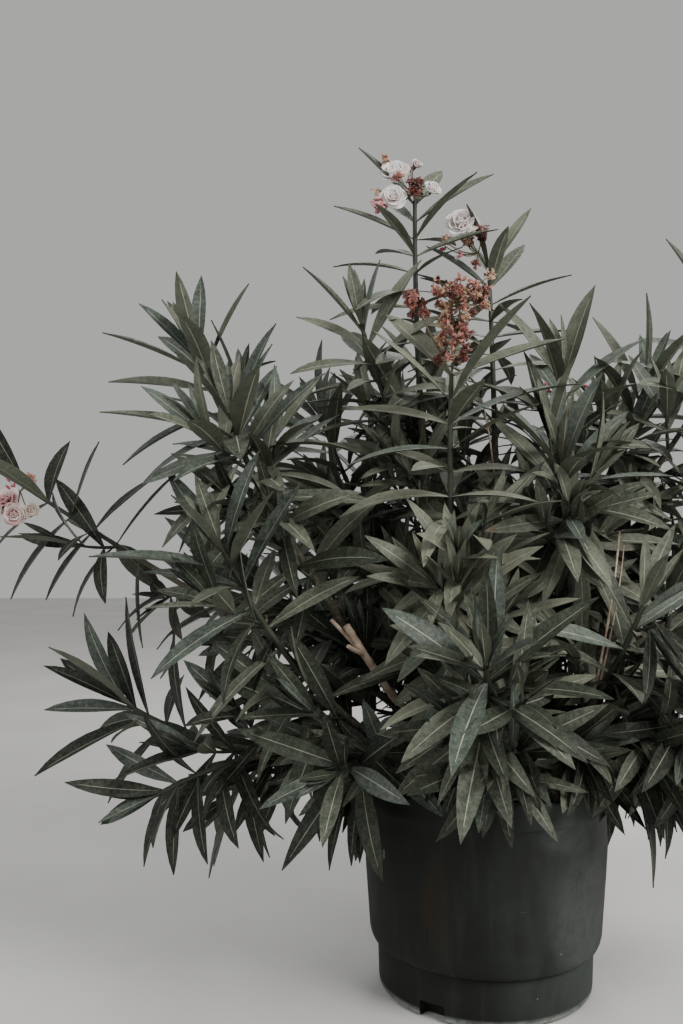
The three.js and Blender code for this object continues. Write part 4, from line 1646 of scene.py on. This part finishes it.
def potLook():
    f = potFinish
    look = newMaterial("potPlastic", f["color"], f["roughness"][-1][1], Specular_IOR_Level=f["gloss"])
    place = objectPlace(look)
    parts = partsOf(look, place)
    cloudy = noise(look, place, *f["cloudy"])
    color = ramp(look, cloudy, f["tones"])
    # the side that faces right is made paler: dust and painted light
    dustAndLightSide = remapped(look, parts["X"], From_Min=f["dustAndLightFrom"], From_Max=f["dustAndLightTo"], To_Max=f["dust"])
    color = mixColor(look, product(look, dustAndLightSide, clouds(look, place, *f["dustAndLightBreak"])), color, f["dustAndLightColor"])
    for stretch, pattern, stops, tint in potRuns:
        color = mixColor(look, clouds(look, objectPlace(look, (1, 1, stretch)), pattern, stops), color, tint)
    ragged = clouds(look, place, *f["ragged"])
    for centre, size, tint, strength in potMarks.values():
        mark = product(look, spot(look, centre, size), strength)
        color = mixColor(look, product(look, mark, ragged), color, tint)
    # the foot's lower edge is made paler: wear and a painted highlight
    wornAndLit = remapped(look, parts["Z"], From_Min=f["wearAndHighlightTop"], From_Max=f["wearAndHighlightFull"], To_Max=f["wearAndHighlight"])
    colorInto(look, mixColor(look, product(look, wornAndLit, ragged), color, f["wearAndHighlightColor"]))
    feed(look, ramp(look, cloudy, f["roughness"]), shaderOf(look).inputs["Roughness"])
    bump(look, noise(look, place, *f["relief"]), *f["bump"])
    return look


# length and tipFrom are shares of the mark's half height
creaseForm = {
    "sides": 8, "radius": 0.0016, "out": 0.0005, "length": 1.8, "tipFrom": 0.8, "tip": 0.25, "tipOut": 1.012,
}


def cutCrease(pot):
    # a thin upright nick in the wall, narrower at its ends
    c = creaseForm
    place, size = potMarks["creaseShade"][0], potMarks["creaseShade"][1]
    bearing = math.atan2(place[1], place[0])
    reach = math.hypot(place[0], place[1]) + c["out"]
    deselectAll()
    bpy.ops.mesh.primitive_cylinder_add(
        vertices=c["sides"], radius=c["radius"], depth=size[2] * c["length"],
        location=tuple(around(bearing, reach, place[2]))
    )
    cutter = startPiece("creaseCutter")
    centre = (place[0] * c["tipOut"], place[1] * c["tipOut"], place[2])
    tipFrom = size[2] * c["tipFrom"]
    resizePoints(cutter, lambda p: abs(p.z - place[2]) > tipFrom, (c["tip"], c["tip"], 1), centre)
    bpy.ops.object.mode_set(mode="OBJECT")
    cutAway(pot, cutter)


def shadeNotches(pot):
    # the faces inside the notches take the second finish, a painted shade
    for face in pot.data.polygons:
        x, y, height = face.center
        low = notchForm["floor"] < height < notchForm["shadeTop"]
        face.material_index = int(low and math.hypot(x, y) < notchForm["inner"])


def makePot():
    pot = turnedPiece("potBody", potForm["sides"], potProfile())
    cutNotches(pot)
    cutCrease(pot)
    shadeNotches(pot)
    smoothFaces(pot, degrees=40)
    finishPiece(pot, [potLook(), mottledLook("notchShade", notchShadeFinish)], ["pot"])
    print("pot", len(pot.data.polygons), "faces")


makePot()


# Soil and the woody base

soilForm = {
    "sides": 72,
    "wall": [(0.1515, 0.0264), (0.1525, 0.068), (0.1655, 0.088), (0.1715, 0.17)],  # radius and height
    "radius": 0.1765,
    "top": 0.272,
    "edge": 0.012,
    "rings": 20,
    "crust": 0.003,  # points this near to the top are roughened
}
baseForm = {
    "sides": 64,
    "foot": 0.2724,
    "height": 0.046,
    "footRadius": 0.064,
    "topRadius": 0.042,
    "flare": 1.4,
    "rings": 10,
    "cap": ((0.028, 0.004), (0.012, 0.006)),  # radius and height above the last ring
}
soilFinish = {
    "roughness": 0.95,
    "pattern": (90, 5, 0.7),
    "tones": [(0.35, (0.018, 0.012, 0.008)), (0.55, (0.050, 0.034, 0.022)), (0.72, (0.120, 0.088, 0.060))],
    "relief": (160, 6, 0.7),
    "bump": (0.9, 0.004),
}


def makeSoil():
    s = soilForm
    widest = s["radius"] - s["edge"]
    profile = s["wall"] + [(s["radius"], s["top"] - s["edge"])]
    profile += [(widest * (1 - i / s["rings"]), s["top"]) for i in range(s["rings"])]
    soil = turnedPiece("soilFill", s["sides"], profile)
    group = soil.vertex_groups.new(name="top")
    group.add([v.index for v in soil.data.vertices if v.co.z > s["top"] - s["crust"]], 1.0, "REPLACE")
    roughen(
        soil, lumpSize=0.02, lumpDepth=3, strength=0.012, mid_level=0.6, direction="Z", vertex_group="top"
    )
    smoothFaces(soil, degrees=50)
    finishPiece(soil, [mottledLook("compost", soilFinish)], ["soil"])


def makeBase():
    b = baseForm
    profile = [(b["footRadius"], b["foot"])]
    for i in range(1, b["rings"] + 1):
        share = i / b["rings"]
        radius = b["footRadius"] + (b["topRadius"] - b["footRadius"]) * share ** b["flare"]
        profile.append((radius, b["foot"] + b["height"] * share))
    profile += [(radius, b["foot"] + b["height"] + rise) for radius, rise in b["cap"]]
    base = turnedPiece("woodyBase", b["sides"], profile)
    roughen(base, lumpSize=0.018, lumpDepth=2, strength=0.012, mid_level=0.62)
    smoothFaces(base, degrees=60)
    finishPiece(base, [bpy.data.materials["stemBark"]], ["stem_base"])


# The pruned stub forks below its cut; thin dead twigs stand in the crown.
# tubes: share of the stub where each part starts, its tip, bow, radii and scars
stubForm = {"radii": (0.0062, 0.0054), "scars": (0.017, 0.22)}
stubForks = (
    (0.62, (-0.230, -0.080, 0.549), (0.002, 0, 0), (0.0034, 0.0028), (0.014, 0.2)),
    (0.76, (-0.2058, -0.096, 0.5133), (0, 0, -0.002), (0.0042, 0.0030), (0.010, 0.2)),
)
deadTwigs = {
    "deadTall": dict(
        on=("upper_right", 0.50), tip=(0.003, 0.05, 0.88), bow=(0.004, -0.004, 0), radius=0.0016,
    ),
    "deadLong": dict(
        on=("right_front", 0.55), tip=(0.172, -0.12, 0.676), bow=(0.003, -0.006, 0), radius=0.0019,
    ),
    "deadShort": dict(
        on=("right_front", 0.58), tip=(0.179, -0.116, 0.656), bow=(0.004, -0.004, 0), radius=0.0014,
    ),
}
deadForm = {"thinner": 0.6, "scars": (0.03, 0.3)}
cutWoodFinish = {
    "roughness": 0.75,
    "pattern": (60, 4),
    "tones": [(0.32, (0.33, 0.235, 0.165)), (0.62, (0.72, 0.58, 0.45))],
    "relief": (240, 4),
    "bump": (0.4, 0.001),
}


def makeStub():
    stub = curveOf("cut", prunedStub)
    tubes = [stemTube(stub, stubForm["radii"], stubForm["scars"])]
    for share, tip, bow, radii, scars in stubForks:
        fork = bowedCurve(placeOn(stub, share * lengthOf(stub)), tip, bow)
        tubes.append(stemTube(fork, radii, scars))
    for name, twig in deadTwigs.items():
        radii = (twig["radius"], twig["radius"] * deadForm["thinner"])
        tubes.append(stemTube(curveOf(name, twig), radii, deadForm["scars"]))
    piece = tubePiece("prunedStub", tubes, sides=10)
    finishPiece(piece, [mottledLook("cutWood", cutWoodFinish)], ["stem_cut"])


# What has dropped: dry leaves on the compost, and dry scraps caught where twigs part

litterForm = {"reach": 0.158, "height": 0.276}
fallenForm = {
    "count": 26, "out": (0.35, 0.72), "lie": (0, 0.006), "aside": 0.5, "lift": (0.0, 0.06),
    "length": (0.06, 0.10), "slim": 0.20, "bend": (-12, 16), "fold": (10, 50), "ripple": 0.2, "twist": 30,
}
scrapForm = {
    "count": 90, "along": (0, 0.5), "droop": -0.8, "length": (0.010, 0.024), "slim": (0.3, 0.6),
    "bend": (-110, 110), "fold": (20, 60), "ripple": 0.4, "twist": 40,
}
crumbForm = {
    "count": 260, "out": (0.14, 1), "sunk": 0.005, "length": (0.004, 0.011), "slim": (0.6, 1),
    "up": (0.1, 0.1, 1), "ripple": 0.1, "twist": 30,
}
litterTints = {
    "straw": (0.30, 0.225, 0.135),
    "brown": (0.130, 0.080, 0.045),
    "grey": (0.150, 0.135, 0.105),
}


def fallenLeaves(rng, names):
    f, parts = fallenForm, []
    for _ in range(f["count"]):
        bearing, reach = rng.uniform(0, 2 * math.pi), litterForm["reach"] * rng.uniform(*f["out"])
        root = around(bearing, reach, litterForm["height"] + rng.uniform(*f["lie"]))
        inward = bearing + math.pi / 2 + rng.normal(0, f["aside"])
        along = unit(around(inward, 1.0, rng.uniform(*f["lift"])))
        length = rng.uniform(*f["length"])
        bends = (rng.uniform(*f["bend"]), rng.uniform(*f["fold"]))
        tint = names[rng.integers(3)]
        size = (length, length * f["slim"])
        addPart(parts, root, along, (0, 0, 1), size, bends, tint, rng, f["ripple"], f["twist"])
    return parts


def caughtScraps(rng, names):
    f, parts = scrapForm, []
    for i in rng.permutation(len(allTwigs))[:f["count"]]:
        twig = allTwigs[i]
        root = placeOn(twig, rng.uniform(*f["along"]) * lengthOf(twig))
        along = unit(rng.normal(0, 1, 3) + np.array([0, 0, f["droop"]]))
        length = rng.uniform(*f["length"])
        up = unit(np.cross(along, rng.normal(0, 1, 3)))
        size = (length, length * rng.uniform(*f["slim"]))
        bends = (rng.uniform(*f["bend"]), rng.uniform(*f["fold"]))
        addPart(parts, root, along, up, size, bends, names[rng.integers(3)], rng, f["ripple"], f["twist"])
    return parts


def soilCrumbs(rng, names):
    f, parts = crumbForm, []
    for _ in range(f["count"]):
        bearing, reach = rng.uniform(0, 2 * math.pi), litterForm["reach"] * math.sqrt(rng.uniform(*f["out"]))
        root = around(bearing, reach, litterForm["height"] - f["sunk"])
        length = rng.uniform(*f["length"])
        along = unit(rng.normal(0, 1, 3))
        size = (length, length * rng.uniform(*f["slim"]))
        tint = names[rng.integers(1, 3)]
        addPart(parts, root, along, f["up"], size, (0, 0), tint, rng, f["ripple"], f["twist"])
    return parts


def makeLitter():
    rng = np.random.default_rng(seeds["litter"])
    names = list(litterTints)
    fallen, scraps, crumbs = (grow(rng, names) for grow in (fallenLeaves, caughtScraps, soilCrumbs))
    bentPiece("fallenLeaves", leaf, fallen, litterTints)
    bentPiece("dryScraps", dried, scraps, litterTints)
    bentPiece("soilCrumbs", bud, crumbs, litterTints)


makeSoil()
makeBase()
makeStub()
makeLitter()
print("soil, base, stub and litter done")
